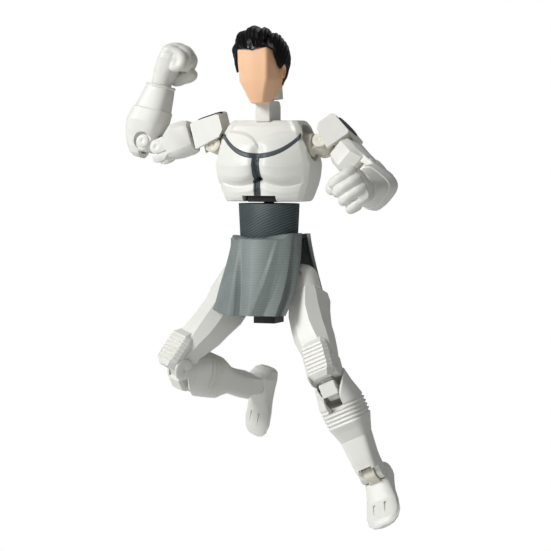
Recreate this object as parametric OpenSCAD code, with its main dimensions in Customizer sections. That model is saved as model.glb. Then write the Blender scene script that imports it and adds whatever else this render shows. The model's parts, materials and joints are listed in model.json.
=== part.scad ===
// Jointed humanoid figure kit: armour pieces over a frame of links and pins.
// The figure faces -Y, its left side is +X, and the origin is the mouth of the stand bore in its back.

/* [Torso] */
// Half width of the chest at the breast line
chest_half_w = 13.6; // [12.6:0.1:14.4]
// Depth of the chest from its back to the breast line
chest_depth = 17.5; // [16.5:0.1:18.5]
// Height of the chest top above the stand bore
chest_top = 8.5; // [8.3:0.1:8.8]
// Drop from the stand bore to the chest's lower edge
chest_drop = 14.4; // [14:0.1:15]
// Wall of the chest shells
shell_wall = 1.5; // [1.2:0.1:1.7]
// Half width of the waist drum
waist_half_w = 9.0; // [8.4:0.1:9.2]
// Half depth of the waist drum
waist_half_d = 6.5; // [6:0.1:6.6]
// Height of the visible waist
waist_height = 12.6; // [12:0.1:12.8]
// Width of the collar stripe
stripe_w = 1.5; // [1:0.1:1.8]
// Half width of the zip strip
zip_half_w = 1.0; // [0.7:0.1:1.4]
// Radius of the stand bore
stand_r = 1.5; // [1.2:0.1:1.8]
// Depth of the stand bore
stand_depth = 4.0; // [3.5:0.1:4.2]

/* [Head] */
// Half width of the neck plate
neck_half_w = 2.1; // [1.8:0.1:2.2]
// Depth of the neck plate
neck_depth = 9.2; // [8.6:0.1:9.4]
// Width of the hair across the head
hair_w = 15.8; // [15.2:0.1:16.6]
// Height of the hair above the neck peg's base
hair_top = 20.8; // [20.2:0.1:21.6]
// Reach of the face in front of the neck peg
face_reach = 11.2; // [10.8:0.1:11.8]
// Lean of the head to the figure's right, in degrees
head_lean = 4; // [0:1:6]

/* [Arms] */
// Distance of the shoulder pivots from the middle
shoulder_x = 16.3; // [16.2:0.1:17]
// Distance of the upper arm's axis outside its shoulder pivot
arm_offset = 4.6; // [4.4:0.1:5]
// Length from the shoulder pivot to the upper elbow pin
upper_arm_len = 16.5; // [16:0.1:18]
// Half width of the upper arm
upper_arm_half = 4.8; // [4.6:0.1:4.9]
// Length from the lower elbow pin to the wrist rim
forearm_len = 16.5; // [16:0.1:18]
// Half width of the forearm near the elbow
forearm_half = 5.7; // [5.5:0.1:5.8]
// Distance between the two elbow pins
elbow_span = 4.4; // [4.3:0.1:4.8]
// Width of the fist across four fingers
fist_w = 11; // [10.4:0.1:11.4]

/* [Legs] */
// Distance of the hip pivots from the middle
hip_x = 10.3; // [10.2:0.1:11]
// Drop from the bend pin to the hip pivots
hip_drop = 6.5; // [6.3:0.1:7]
// Length from the hip pivot to the upper knee pin
thigh_len = 29.5; // [29:0.1:31]
// Half width of the thigh at its widest
thigh_half = 5.9; // [5.6:0.1:6.1]
// Distance between the two knee pins
knee_span = 5.6; // [5.5:0.1:6]
// Length from the lower knee pin to the ankle pin
shin_len = 25.5; // [25:0.1:27]
// Half width of the shin's flare
shin_half = 6.0; // [5.7:0.1:6.2]
// Length of the foot
foot_len = 20.0; // [19:0.1:21]
// Half width of the foot at the toes
foot_half = 4.4; // [4.1:0.1:4.7]

/* [Skirt] */
// Height of the skirt panels
skirt_len = 21; // [20:0.5:22]
// Half width of the front panel at its top
front_top_w = 10.6; // [10.2:0.1:11]
// Half width of the oval that the front panel's hem follows
front_hem_w = 17.5; // [16.5:0.1:18.5]
// Half depth of the oval that the front panel's hem follows
front_hem_d = 17.3; // [16.8:0.1:18]
// Half width of the back panel at its top
back_top_w = 11.9; // [11.6:0.1:12.4]
// Half width of the oval that the back panel's hem follows
back_hem_w = 17; // [16:0.1:18]
// Half depth of the oval that the back panel's hem follows
back_hem_d = 14; // [13.5:0.1:15]
// Thickness of the skirt panels
skirt_wall = 1.1; // [0.9:0.1:1.2]
// Depth of the pleats
pleat = 0.5; // [0.2:0.1:0.6]
// Pleats across a panel
pleats = 5; // [4:1:7]

/* [Pins] */
// Radius of the shoulder, hip and waist axles
axle_r = 1.5; // [1.3:0.1:1.6]
// Radius of the cross pins
pin_r = 0.9; // [0.8:0.05:0.95]
// Running clearance of an axle or pin in its bore
run_gap = 0.05; // [0.03:0.01:0.08]
// Free space between parts that turn past each other
side_gap = 0.3; // [0.25:0.01:0.35]

/* [Pose of the left arm] */
// Forward swing at the shoulder
l_swing = 34; // [30:1:38]
// Raise of the arm from hanging
l_raise = 43; // [38:1:46]
// Twist of the upper arm
l_twist = -27; // [-31:1:-23]
// Bend at the upper elbow pin
l_elbow_a = 7; // [0:1:10]
// Bend at the lower elbow pin
l_elbow_b = 50; // [46:1:54]
// Turn of the fist
l_wrist = -70; // [-80:1:-60]

/* [Pose of the right arm] */
// Forward swing at the shoulder
r_swing = 9; // [6:1:14]
// Raise of the arm from hanging
r_raise = 72; // [68:1:76]
// Twist of the upper arm
r_twist = 86; // [82:1:88]
// Bend at the upper elbow pin
r_elbow_a = 40; // [36:1:44]
// Bend at the lower elbow pin
r_elbow_b = 80; // [76:1:84]
// Turn of the fist
r_wrist = 5; // [-5:1:15]

/* [Pose of the left leg] */
// Forward swing at the hip
ll_swing = 24; // [20:1:26]
// Spread at the hip
ll_spread = 22; // [19:1:25]
// Twist of the thigh
ll_twist = -10; // [-14:1:-6]
// Bend at the upper knee pin
ll_knee_a = 20; // [16:1:24]
// Bend at the lower knee pin
ll_knee_b = 6; // [2:1:10]
// Downward point of the foot
ll_ankle = 35; // [31:1:38]

/* [Pose of the right leg] */
// Forward swing at the hip
rl_swing = 26; // [22:1:27]
// Spread at the hip
rl_spread = 25; // [22:1:28]
// Twist of the thigh
rl_twist = 19; // [15:1:22]
// Bend at the upper knee pin
rl_knee_a = 68; // [64:1:72]
// Bend at the lower knee pin
rl_knee_b = 44; // [40:1:48]
// Downward point of the foot
rl_ankle = 1; // [0:1:5]

/* [Hidden] */
$fn = 48;
LEFT = 1;
RIGHT = -1;
// Lengths along the body, measured from the stand bore.
body_y = -6.5;
shoulder_z = 1.5;
waist_top = -chest_drop - side_gap;
waist_low = waist_top - waist_height;
bend_z = waist_low - 2.7;
hip_z = bend_z - hip_drop;
skirt_top = bend_z + 5;
skirt_hinge_z = bend_z + 1;
neck_z = 5.4;
neck_top = 14.0;
split_y = -7.2;
// Bores that carry the axles and pins.
axle_bore = axle_r + run_gap;
pin_bore = pin_r + run_gap;
peg_r = axle_r;
peg_len = 3.6;
knuckle_r = 2.4;
knuckle_half = 1.7;
slot_half = knuckle_half + 0.2;
// Reach of a cut that passes right through a piece.
far = 40;

white = [0.93, 0.93, 0.9];
ivory = [0.86, 0.84, 0.72];
skin = [0.95, 0.74, 0.58];
black = [0.06, 0.06, 0.07];
dark_grey = [0.24, 0.28, 0.29];
skirt_grey = [0.5, 0.54, 0.54];

// ---- Shapes shared by several pieces ----

// A closed solid through a stack of outlines, each [height, points]; the outlines share a point count.
// A bent outline, whose second half runs back beside its first, is closed by strips across it.
module loft(rings, bent = false) {
    n = len(rings[0][1]);
    m = len(rings);
    points = [for (ring = rings) for (p = ring[1]) [p[0], p[1], ring[0]]];
    sides = [for (k = [0:m - 2]) for (i = [0:n - 1]) for (half = [0, 1])
        let (j = (i + 1) % n, low = k * n, high = low + n)
        half == 0 ? [low + i, high + i, high + j] : [low + i, high + j, low + j]];
    top = (m - 1) * n;
    whole = [[for (i = [0:n - 1]) i], [for (i = [0:n - 1]) top + n - 1 - i]];
    strips = [for (i = [0:n / 2 - 2]) for (end = [0, 1])
        let (a = i, b = i + 1, c = n - 2 - i, d = n - 1 - i)
        end == 0 ? [a, b, c, d] : [top + d, top + c, top + b, top + a]];
    caps = bent ? strips : whole;
    polyhedron(points = points, faces = concat(sides, caps));
}

// An octagon of half widths hx and hy with its corners cut by c, centred on [cx, cy].
function octagon(hx, hy, c, cx = 0, cy = 0) = [
    [cx + hx - c, cy - hy], [cx + hx, cy - hy + c], [cx + hx, cy + hy - c], [cx + hx - c, cy + hy],
    [cx - hx + c, cy + hy], [cx - hx, cy + hy - c], [cx - hx, cy - hy + c], [cx - hx + c, cy - hy]];

// A sixteen-sided oval of half widths a and b, centred on y = cy.
function oval(a, b, cy) = [for (i = [0:15]) [a * cos(i * 22.5 + 11.25), cy + b * sin(i * 22.5 + 11.25)]];

module rod_x(r, x0, x1) translate([x0, 0, 0]) rotate([0, 90, 0]) cylinder(r = r, h = x1 - x0);
module rod_y(r, y0, y1) translate([0, y0, 0]) rotate([-90, 0, 0]) cylinder(r = r, h = y1 - y0);
module box(x0, x1, y0, y1, z0, z1) translate([x0, y0, z0]) cube([x1 - x0, y1 - y0, z1 - z0]);
// Puts its children on a side: the right side is the mirror of the left.
module on_side(side) {
    if (side == LEFT) children();
    else mirror([1, 0, 0]) children();
}

// ---- Head ----

// Forward reach of the neck plate from its hinge, and its reach behind.
neck_y = -7;
neck_front = neck_y - 0.53 * neck_depth;
neck_back = neck_y + 0.47 * neck_depth;

module at_head() translate([0, neck_y, neck_top]) rotate([0, -head_lean, 0]) children();

// Skull under the hair, grown outwards by g.
module skull(g) {
    rows = [[3, 0.56, 4.8, -1.6], [6, 0.66, 6.4, -2.4], [12, 0.7, 7.0, -2.8], [15.5, 0.66, 6.2, -2.6],
        [17.6, 0.44, 4.2, -2.4]];
    loft([for (row = rows) [row[0] + (row[0] > 14 ? g : 0), oval(hair_w / 2 * row[1] + g, row[2] + g, row[3])]]);
}

module head_core() {
    lobe_y = 2.7;
    color(ivory) at_head() difference() {
        union() {
            skull(0);
            translate([0, 0, side_gap]) cylinder(r = 4.2, h = 4);
            translate([0, lobe_y, 2.6]) rod_x(1.9, -2.4, 2.4);
            box(-2.4, 2.4, lobe_y - 1.9, lobe_y + 1.9, 2.6, 5);
        }
        translate([0, 0, -1]) cylinder(r = axle_bore, h = peg_len + 1.4);
    }
}

// The face ends and the side hair begins here; the hair below starts behind the head core's rear lobe.
ear_y = -0.8;
lobe_clear = 4.8;

// Blank face: a front plane, two cheek planes and a chin, folded at mid height.
module face_plate() {
    jaw_z = 0.4;
    rows = [[-1.0, 0.24, 0.34, 0.80], [0.8, 0.32, 0.47, 0.90], [6.2, 0.42, 0.78, 1.0], [13.7, 0.5, 0.82, 0.95]];
    outline = [for (row = rows) let (f = row[1] * hair_w / 2, s = row[2] * hair_w / 2, y = -face_reach * row[3])
        [row[0], [[f, y], [s, y + 3.6], [s, ear_y], [-s, ear_y], [-s, y + 3.6], [-f, y]]]];
    color(skin) at_head() difference() {
        loft(outline);
        skull(run_gap);
        translate([0, 0, side_gap - 1]) cylinder(r = 4.2 + run_gap, h = 6);
        box(-hair_w, hair_w, -6, 0, -2, jaw_z);
    }
}

module hair() {
    brow_z = 13.8;
    rows = [[3.2, 0.74, 6.4, -0.6], [6, 0.9, 8.0, -1.6], [12, 1.0, 9.0, -2.6], [16.5, 0.92, 8.7, -3.2],
        [19.2, 0.66, 6.6, -2.8]];
    color(black) at_head() difference() {
        loft(concat([for (row = rows) [row[0], oval(hair_w / 2 * row[1], row[2], row[3])]],
            [[hair_top, oval(hair_w * 0.16, 3.2, -2.4)]]));
        skull(run_gap);
        box(-hair_w, hair_w, -2 * face_reach, ear_y + run_gap, 0, brow_z);
        box(-hair_w, hair_w, -2 * face_reach, lobe_clear, 0, 5);
    }
}

module neck() {
    round_r = 2;
    color(white) difference() {
        union() {
            box(-neck_half_w, neck_half_w, neck_front, neck_back - round_r, chest_top - side_gap, neck_top);
            box(-neck_half_w, neck_half_w, neck_y, neck_back, chest_top - side_gap, neck_top - round_r);
            translate([0, neck_back - round_r, neck_top - round_r]) rod_x(round_r, -neck_half_w, neck_half_w);
            box(-knuckle_half, knuckle_half, neck_y - 2, neck_y + 2, neck_z, chest_top);
            translate([0, neck_y, neck_z]) rod_x(2.2, -knuckle_half, knuckle_half);
            at_head() translate([0, 0, -1]) cylinder(r = peg_r, h = peg_len + 1);
        }
        translate([0, neck_y, neck_z]) rod_x(pin_bore, -3, 3);
    }
}

module neck_pin() color(ivory) translate([0, neck_y, neck_z]) rod_x(pin_r, -neck_ear_half, neck_ear_half);

// ---- Chest ----

// Each row: height, then half width, front at the middle, front at the corners and inset of the back.
chest_rows = [
    [-chest_drop, 0.83, 0.74, 0.64, 1.2],
    [-chest_drop * 0.92, 0.88, 0.78, 0.68, 0.4],
    [-chest_drop * 0.68, 0.935, 0.81, 0.7, 0],
    [-chest_drop * 0.62, 0.96, 0.93, 0.735, 0],
    [-chest_drop * 0.31, 1, 1, 0.775, 0],
    [chest_top * 0.18, 0.94, 0.9, 0.745, 0],
    [chest_top * 0.82, 0.8, 0.73, 0.675, 0.3],
    [chest_top, 0.7, 0.66, 0.62, 1.2]];

// Half width of the flat down the breast, and the chamfer of the sides.
chest_ridge = 2.2;
chest_chamfer = 1.5;
// The chest's outer form, drawn in by t.
module chest_form(t) {
    shrink = 1 - 2 * t / (chest_top + chest_drop);
    loft([for (row = chest_rows) let (w = chest_half_w * row[1] - t, front = t - chest_depth * row[2],
        corner = t - chest_depth * row[3], back = -row[4] - t, m = chest_ridge, n = chest_chamfer)
        [row[0] * shrink, [[m, front], [w - n, corner], [w, corner + n], [w, back - 2 * n], [w - 2 * n, back],
            [2 * n - w, back], [-w, back - 2 * n], [-w, corner + n], [n - w, corner], [-m, front]]]]);
}

// What both shells are cut by: the hollow, the armholes, the neck slot and the notch for the waist block.
armhole_r = 5.2;
armhole_z = shoulder_z + 0.8;
notch_half = 4.6;
notch_top = -chest_drop + 2;
module armholes(x, z) translate([x, body_y, armhole_z + z])
    for (side = [LEFT, RIGHT]) on_side(side) rod_x(armhole_r, chest_half_w * 0.66, chest_half_w + 2);
module chest_cuts() {
    chest_form(shell_wall);
    armholes(0, 0);
    box(-neck_half_w - side_gap, neck_half_w + side_gap, neck_front - 0.6, neck_back + 0.6, 5, chest_top + 1);
    box(-notch_half, notch_half, -chest_depth, body_y + 5, -chest_drop - 1, notch_top);
}

module chest_front() color(white) difference() {
    chest_form(0);
    chest_cuts();
    box(-far, far, split_y, far, -far, far);
}

boss_r = stand_r + 1.4;
module chest_back() color(white) difference() {
    union() {
        difference() {
            chest_form(0);
            chest_cuts();
            box(-far, far, -far, split_y + run_gap, -far, far);
        }
        rod_y(boss_r, -stand_depth - 0.5, -0.5);
    }
    rod_y(stand_r, -stand_depth, 1);
}

// Inner frame: side arms with the shoulder axle bores, neck ears above, post down to the waist block.
neck_ear_r = 1.8;
neck_ear_half = 4;
arm_reach = shoulder_x - 5.4;
core_back = -stand_depth - 0.9;
block_top = -9;
module chest_core() color(ivory) difference() {
    union() {
        box(-5.2, 5.2, -10.4, core_back, block_top + run_gap, 5.4);
        for (side = [LEFT, RIGHT]) on_side(side)
            box(5, arm_reach, body_y - 3, body_y + 3, shoulder_z - 3, shoulder_z + 3);
        translate([0, neck_y, neck_z]) rod_x(neck_ear_r, -neck_ear_half, neck_ear_half);
    }
    box(-knuckle_half - side_gap, knuckle_half + side_gap, -11, -3, neck_z - 2.6, 9);
    translate([0, neck_y, neck_z]) rod_x(pin_r, -5, 5);
    for (side = [LEFT, RIGHT]) on_side(side)
        translate([0, body_y, shoulder_z]) rod_x(axle_bore, arm_reach - 5, arm_reach + 1);
}

// A band of the chest's skin standing proud by h.
module chest_skin(h) difference() {
    chest_form(-h);
    chest_form(0);
    box(-far, far, split_y - 1, far, -far, far);
}

// Collar stripe: an arc across the chest whose lowest point meets the zip strip.
stripe_low = -1.6;
stripe_r = 19;
stripe_x = 0.6;
stripe_rise = 8;
module collar_stripe() color(dark_grey) intersection() {
    chest_skin(0.3);
    translate([stripe_x, 0, stripe_low + stripe_r]) difference() {
        rod_y(stripe_r, -far, 0);
        rod_y(stripe_r - stripe_w, -far - 1, 1);
        box(-far, far, -far - 1, 1, stripe_rise - stripe_r, far);
        armholes(-stripe_x, -stripe_low - stripe_r);
    }
}

module zip_strip() color(dark_grey) difference() {
    intersection() {
        chest_skin(0.4);
        box(-zip_half_w, zip_half_w, -far, 0, notch_top + 0.2, stripe_low + 1);
    }
    translate([stripe_x, 0, stripe_low + stripe_r]) rod_y(stripe_r + run_gap, -far, 1);
}

// ---- Waist ----

// Black block in the chest's notch, with a post up to the inner frame; the waist's peg turns in its bore.
module waist_joint() color(black) difference() {
    union() {
        box(-notch_half + side_gap, notch_half - side_gap, -12.2, -2.6, waist_top + 0.2, notch_top - 0.1);
        box(-3.6, 3.6, -10, -3, notch_top - 0.2, block_top);
    }
    translate([0, body_y, waist_top - 1]) cylinder(r = axle_bore, h = peg_len + 1.4);
}

bend_ear_r = 2.0;
module at_bend() translate([0, body_y, bend_z]) children();

module waist() color(dark_grey) {
    difference() {
        union() {
            loft([[waist_low, oval(waist_half_w * 0.92, waist_half_d * 0.88, body_y)],
                [waist_low + 1, oval(waist_half_w * 0.94, waist_half_d * 0.92, body_y)],
                [waist_top - side_gap, oval(waist_half_w, waist_half_d, body_y)]]);
            translate([0, body_y, waist_top - side_gap]) cylinder(r = peg_r, h = peg_len);
            at_bend() rod_x(bend_ear_r, -knuckle_half, knuckle_half);
            box(-knuckle_half, knuckle_half, body_y - bend_ear_r, body_y + bend_ear_r, bend_z, waist_low + 0.1);
        }
        at_bend() rod_x(pin_bore, -3, 3);
    }
}

module waist_pin() color(ivory) at_bend() rod_x(pin_r, -4.2, 4.2);

pelvis_half = hip_x - 5.1;
guard_half = 3.2;
lug_y = 6.7;
lug_pin_r = 0.6;
module pelvis() color(black) difference() {
    union() {
        for (side = [LEFT, RIGHT]) on_side(side) {
            at_bend() rod_x(bend_ear_r, slot_half, 4.2);
            box(slot_half, 4.2, body_y - bend_ear_r, body_y + bend_ear_r, bend_z - 4, bend_z);
        }
        box(-pelvis_half, pelvis_half, body_y - 4.2, body_y + 4.2, hip_z - 4, hip_z + 3.5);
        box(-guard_half, guard_half, body_y - 4, body_y + 3.5, hip_z - 12.5, hip_z);
        // Brackets that carry the skirt panels.
        for (front = [-1, 1]) {
            inner = body_y + front * 4;
            outer = body_y + front * (lug_y + 0.9);
            box(-1.5, 1.5, min(inner, outer), max(inner, outer), hip_z + 1.5, hip_z + 3.5);
            box(-1.5, 1.5, body_y + front * lug_y - 0.9, body_y + front * lug_y + 0.9, hip_z + 1.5, skirt_hinge_z);
            translate([0, body_y + front * lug_y, skirt_hinge_z]) rod_x(0.9, -1.5, 1.5);
            translate([0, body_y + front * lug_y, skirt_hinge_z]) rod_x(lug_pin_r, -3, 3);
        }
    }
    at_bend() rod_x(pin_r, -5, 5);
    for (side = [LEFT, RIGHT]) on_side(side)
        translate([0, body_y, hip_z]) rod_x(axle_bore, pelvis_half - 4, pelvis_half + 1);
}

// ---- Skirt ----

// Point of a panel's outer face: u across from 0 to 1, v down from 0 to 1, at inset t.
// top and low are [half width, half depth, start angle, end angle]; zero degrees is straight ahead.
function panel_point(top, low, u, v, t) = let (
    grow = pow(v, 1.25),
    a = top[0] + (low[0] - top[0]) * grow - t,
    b = top[1] + (low[1] - top[1]) * grow - t,
    ease = pow(1 - v, 1.6),
    from = low[2] + (top[2] - low[2]) * ease,
    to = low[3] + (top[3] - low[3]) * ease,
    angle = from + (to - from) * u,
    saw = abs((u * pleats) % 1 - 0.5) * 2,
    fold = pleat * (0.35 + 0.65 * v) * (saw - 1))
    [(a + fold) * sin(angle), -(b + fold) * pow(max(cos(angle), 0), 1 - 0.5 * v)];

columns = 2 * pleats;
rows_down = 6;
module panel(top, low) translate([0, body_y, skirt_top]) {
    loft([for (k = [rows_down:-1:0]) let (v = k / rows_down)
        [-skirt_len * v, concat([for (i = [0:columns]) panel_point(top, low, i / columns, v, 0)],
            [for (i = [columns:-1:0]) panel_point(top, low, i / columns, v, skirt_wall)])]], bent = true);
}

// Two lugs behind a panel that ride on the pelvis bracket's pin.
module lugs(reach) translate([0, body_y, skirt_hinge_z]) difference() {
    for (side = [LEFT, RIGHT]) on_side(side) {
        translate([0, -lug_y, 0]) rod_x(1.2, 1.8, 2.9);
        box(1.8, 2.9, -reach, -lug_y, -1.1, 1.1);
    }
    translate([0, -lug_y, 0]) rod_x(lug_pin_r + run_gap, -5, 5);
}

// Half depths of the panels at their top, and the angles at which their edges start and end.
front_top_d = 8.7;
back_top_d = 9.7;
front_top_span = [-86, 78];
front_hem_span = [-54, 38];
back_top_span = [-84, 84];
back_hem_span = [-58, 58];
module skirt_front() color(skirt_grey) {
    panel([front_top_w, front_top_d, front_top_span[0], front_top_span[1]],
        [front_hem_w, front_hem_d, front_hem_span[0], front_hem_span[1]]);
    lugs(front_top_d + 0.5);
}

module skirt_back() color(skirt_grey)
    translate([0, 2 * body_y, 0]) rotate([0, 0, 180]) {
        panel([back_top_w, back_top_d, back_top_span[0], back_top_span[1]],
            [back_hem_w, back_hem_d, back_hem_span[0], back_hem_span[1]]);
        lugs(back_top_d - 0.1);
    }

// ---- Arms ----

// Rest angles of an arm: swing, raise, twist, two elbow bends and the fist's turn.
function arm_pose(side) = side == LEFT
    ? [l_swing, l_raise, l_twist, l_elbow_a, l_elbow_b, l_wrist]
    : [r_swing, r_raise, r_twist, r_elbow_a, r_elbow_b, r_wrist];

module at_swing(side) on_side(side)
    translate([shoulder_x, body_y, shoulder_z]) rotate([-arm_pose(side)[0], 0, 0]) children();
module at_raise(side) at_swing(side) rotate([0, -arm_pose(side)[1], 0]) children();
module at_arm(side) at_raise(side) translate([arm_offset, 0, 0]) rotate([0, 0, arm_pose(side)[2]]) children();
module at_elbow(side) at_arm(side) translate([0, 0, -upper_arm_len]) rotate([-arm_pose(side)[3], 0, 0]) children();
module at_forearm(side) at_elbow(side) translate([0, 0, -elbow_span]) rotate([-arm_pose(side)[4], 0, 0]) children();
module at_hand(side) at_forearm(side) translate([0, 0, -forearm_len]) rotate([0, 0, arm_pose(side)[5]]) children();

// Axle into the chest frame, drum in the armhole and knuckle on the raise pin.
drum_r = 3.3;
drum_face = -knuckle_r - 0.5;
module shoulder_link(side) color(ivory) at_swing(side) difference() {
    union() {
        rod_x(axle_r, arm_reach - shoulder_x - 4.5, drum_face);
        rod_x(drum_r, arm_reach - shoulder_x + 0.2, drum_face);
        box(drum_face - 0.1, 0, -knuckle_half, knuckle_half, -2, 2);
        rod_y(knuckle_r, -knuckle_half, knuckle_half);
    }
    rod_y(pin_bore, -3, 3);
}

// Fork over the knuckle, block under the pad and peg down the upper arm.
ear_out = 3.1;
core_low = -4.1;
core_x = [2.8, 8.6];
module shoulder_core(side) color(ivory) at_raise(side) difference() {
    union() {
        for (front = [-1, 1]) {
            y0 = min(front * slot_half, front * ear_out);
            y1 = max(front * slot_half, front * ear_out);
            rod_y(knuckle_r, y0, y1);
            box(0, core_x[0] + 0.2, y0, y1, -2, 2);
        }
        box(core_x[0], core_x[1], -ear_out, ear_out, core_low, 3.6);
        translate([arm_offset, 0, core_low - peg_len]) cylinder(r = peg_r, h = peg_len + 1);
    }
    rod_y(pin_r, -4, 4);
}

module shoulder_pin(side) color(ivory) at_raise(side) rod_y(pin_r, -ear_out, ear_out);

// Shoulder pad: a bevelled box over the core, open below and towards the body.
pad_x = 9.9;
disc_r = 3.0;
module shoulder_cap(side) color(white) at_raise(side) difference() {
    rotate([90, 0, 0]) linear_extrude(height = 8.6, center = true)
        polygon([[2.2, -3.7], [pad_x - 0.5, -3.7], [pad_x, -3.2], [pad_x, 3.4], [pad_x - 1, 4.4], [5, 4.4],
            [2.2, 1.6]]);
    box(-1, core_x[1] + run_gap, -ear_out - run_gap, ear_out + run_gap, -5, 3.6 + run_gap);
    rod_x(disc_r + run_gap, pad_x - 0.6, pad_x + 1);
}

module shoulder_disc(side) color(black) at_raise(side) difference() {
    rod_x(disc_r, pad_x - 0.55, pad_x + 0.1);
    difference() {
        rod_x(disc_r * 0.62, pad_x - 0.1, pad_x + 1);
        rod_x(disc_r * 0.48, pad_x - 0.2, pad_x + 1);
    }
}

// Forked end that turns on a pin at the origin: two ears from x = slot_half to ear_w, up to height h.
module fork(r, ear_w, depth, h) {
    for (side = [LEFT, RIGHT]) on_side(side) {
        rod_x(r, slot_half, ear_w);
        box(slot_half, ear_w, -depth, depth, min(0, h), max(0, h));
    }
}

elbow_ear_r = (elbow_span - side_gap) / 2;
elbow_ear_w = 4.4;
// Rounded block behind a pin, out to radius r, clear of the link; it runs from z0 to z1.
module heel(r, half, link_r, z0, z1) intersection() {
    rod_x(r, -half, half);
    box(-half, half, link_r + side_gap, r, z0, z1);
}

arm_top = core_low - side_gap;
module upper_arm(side) color(white) at_arm(side) difference() {
    union() {
        loft([[2.9 - upper_arm_len, octagon(4.4, 3.4, 1, 0, 0.9)],
            [5.6 - upper_arm_len, octagon(upper_arm_half, upper_arm_half, 1.7)],
            [arm_top - 2, octagon(upper_arm_half, upper_arm_half, 1.8)],
            [arm_top, octagon(upper_arm_half - 0.4, upper_arm_half - 0.4, 1.7)]]);
        translate([0, 0, -upper_arm_len]) {
            fork(elbow_ear_r, elbow_ear_w, elbow_ear_r, 3);
            heel(upper_arm_half - 0.3, elbow_ear_w, elbow_ear_r, -elbow_ear_r, 4);
        }
    }
    translate([0, 0, -upper_arm_len]) {
        rod_x(pin_bore, -6, 6);
        box(-slot_half, slot_half, -6, 6, -4, elbow_ear_r + side_gap);
    }
    translate([0, 0, arm_top - peg_len - 0.5]) cylinder(r = axle_bore, h = peg_len + 2);
}

// A plate with two knuckles, held by one pin in each.
module link(r, span) difference() {
    union() {
        rod_x(r, -knuckle_half, knuckle_half);
        translate([0, 0, -span]) rod_x(r, -knuckle_half, knuckle_half);
        box(-knuckle_half, knuckle_half, -r, r, -span, 0);
    }
    for (z = [0, -span]) translate([0, 0, z]) rod_x(pin_r, -5, 5);
}

module elbow_link(side) color(ivory) at_elbow(side) link(elbow_ear_r, elbow_span);

module elbow_pins(side) color(ivory) at_elbow(side)
    for (z = [0, -elbow_span]) translate([0, 0, z]) rod_x(pin_r, -elbow_ear_w, elbow_ear_w);

module forearm(side) color(white) at_forearm(side) difference() {
    band = -0.56 * forearm_len;
    union() {
        loft([[-forearm_len, octagon(forearm_half * 0.7, forearm_half * 0.72, 1.3)],
            [band - 0.2, octagon(forearm_half * 0.86, forearm_half * 0.86, 1.6)],
            [band, octagon(forearm_half * 0.96, forearm_half * 0.96, 1.8, 0, 0.2)],
            [-5.6, octagon(forearm_half, forearm_half * 0.94, 2, 0, 0.3)],
            [-2.8, octagon(forearm_half * 0.84, 4, 1.2, 0, 1.4)]]);
        fork(elbow_ear_r, elbow_ear_w, elbow_ear_r, -3);
        heel(forearm_half - 0.1, elbow_ear_w, elbow_ear_r, -4, elbow_ear_r);
    }
    rod_x(pin_bore, -6, 6);
    box(-slot_half, slot_half, -6, 6, -elbow_ear_r - side_gap, 4);
    box(-0.6, 0.6, -forearm_half - 1, -forearm_half * 0.75, -7.6, -5.2);
    translate([0, 0, -forearm_len - 1]) cylinder(r = axle_bore, h = peg_len + 1.4);
}

// Closed fist: wrist, palm, four curled fingers side by side along X and a thumb across them.
module hand(side) color(white) at_hand(side) {
    finger_r = fist_w / 8;
    translate([0, 0, -side_gap]) {
        cylinder(r = peg_r, h = peg_len);
        translate([0, 0, -2.8]) cylinder(r = 3.1, h = 2.8);
        box(-fist_w * 0.36, fist_w * 0.36, -3.4, 2.4, -9, -2.2);
        box(-fist_w * 0.42, fist_w * 0.42, -5.4, 0, -9.6, -4.4);
        for (k = [-1.5:1:1.5]) translate([k * finger_r * 2, 0, 0]) {
            translate([0, 0, -9.8]) rod_y(finger_r * 0.98, -5.4, 1.2);
            translate([0, -5.4, -9.8]) sphere(r = finger_r * 0.98, $fn = 24);
            translate([0, 1.2, -9.8]) sphere(r = finger_r * 0.98, $fn = 24);
            translate([0, -5.4, -9.8]) cylinder(r = finger_r * 0.98, h = 5);
        }
        translate([0, -6.4, -5.4]) rod_x(1.3, -1, fist_w * 0.36);
        box(fist_w * 0.2, fist_w * 0.44, -6.2, 1, -6.4, -3.4);
    }
}

// ---- Legs ----

// Rest angles of a leg: swing, spread, twist, two knee bends and the foot's point.
function leg_pose(side) = side == LEFT
    ? [ll_swing, ll_spread, ll_twist, ll_knee_a, ll_knee_b, ll_ankle]
    : [rl_swing, rl_spread, rl_twist, rl_knee_a, rl_knee_b, rl_ankle];

knee_y = -0.5;
module at_hip_swing(side) on_side(side)
    translate([hip_x, body_y, hip_z]) rotate([-leg_pose(side)[0], 0, 0]) children();
module at_hip(side) at_hip_swing(side) rotate([0, -leg_pose(side)[1], 0]) children();
module at_thigh(side) at_hip(side) rotate([0, 0, leg_pose(side)[2]]) children();
module at_knee(side) at_thigh(side)
    translate([0, knee_y, -thigh_len]) rotate([leg_pose(side)[3], 0, 0]) children();
module at_shin(side) at_knee(side) translate([0, 0, -knee_span]) rotate([leg_pose(side)[4], 0, 0]) children();
module at_foot(side) at_shin(side) translate([0, -knee_y, -shin_len]) rotate([leg_pose(side)[5], 0, 0]) children();

module hip_link(side) color(ivory) at_hip_swing(side) difference() {
    union() {
        rod_x(axle_r, pelvis_half - hip_x - 3.5, 0);
        rod_y(knuckle_r, -knuckle_half, knuckle_half);
    }
    rod_y(pin_bore, -3, 3);
}

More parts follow.
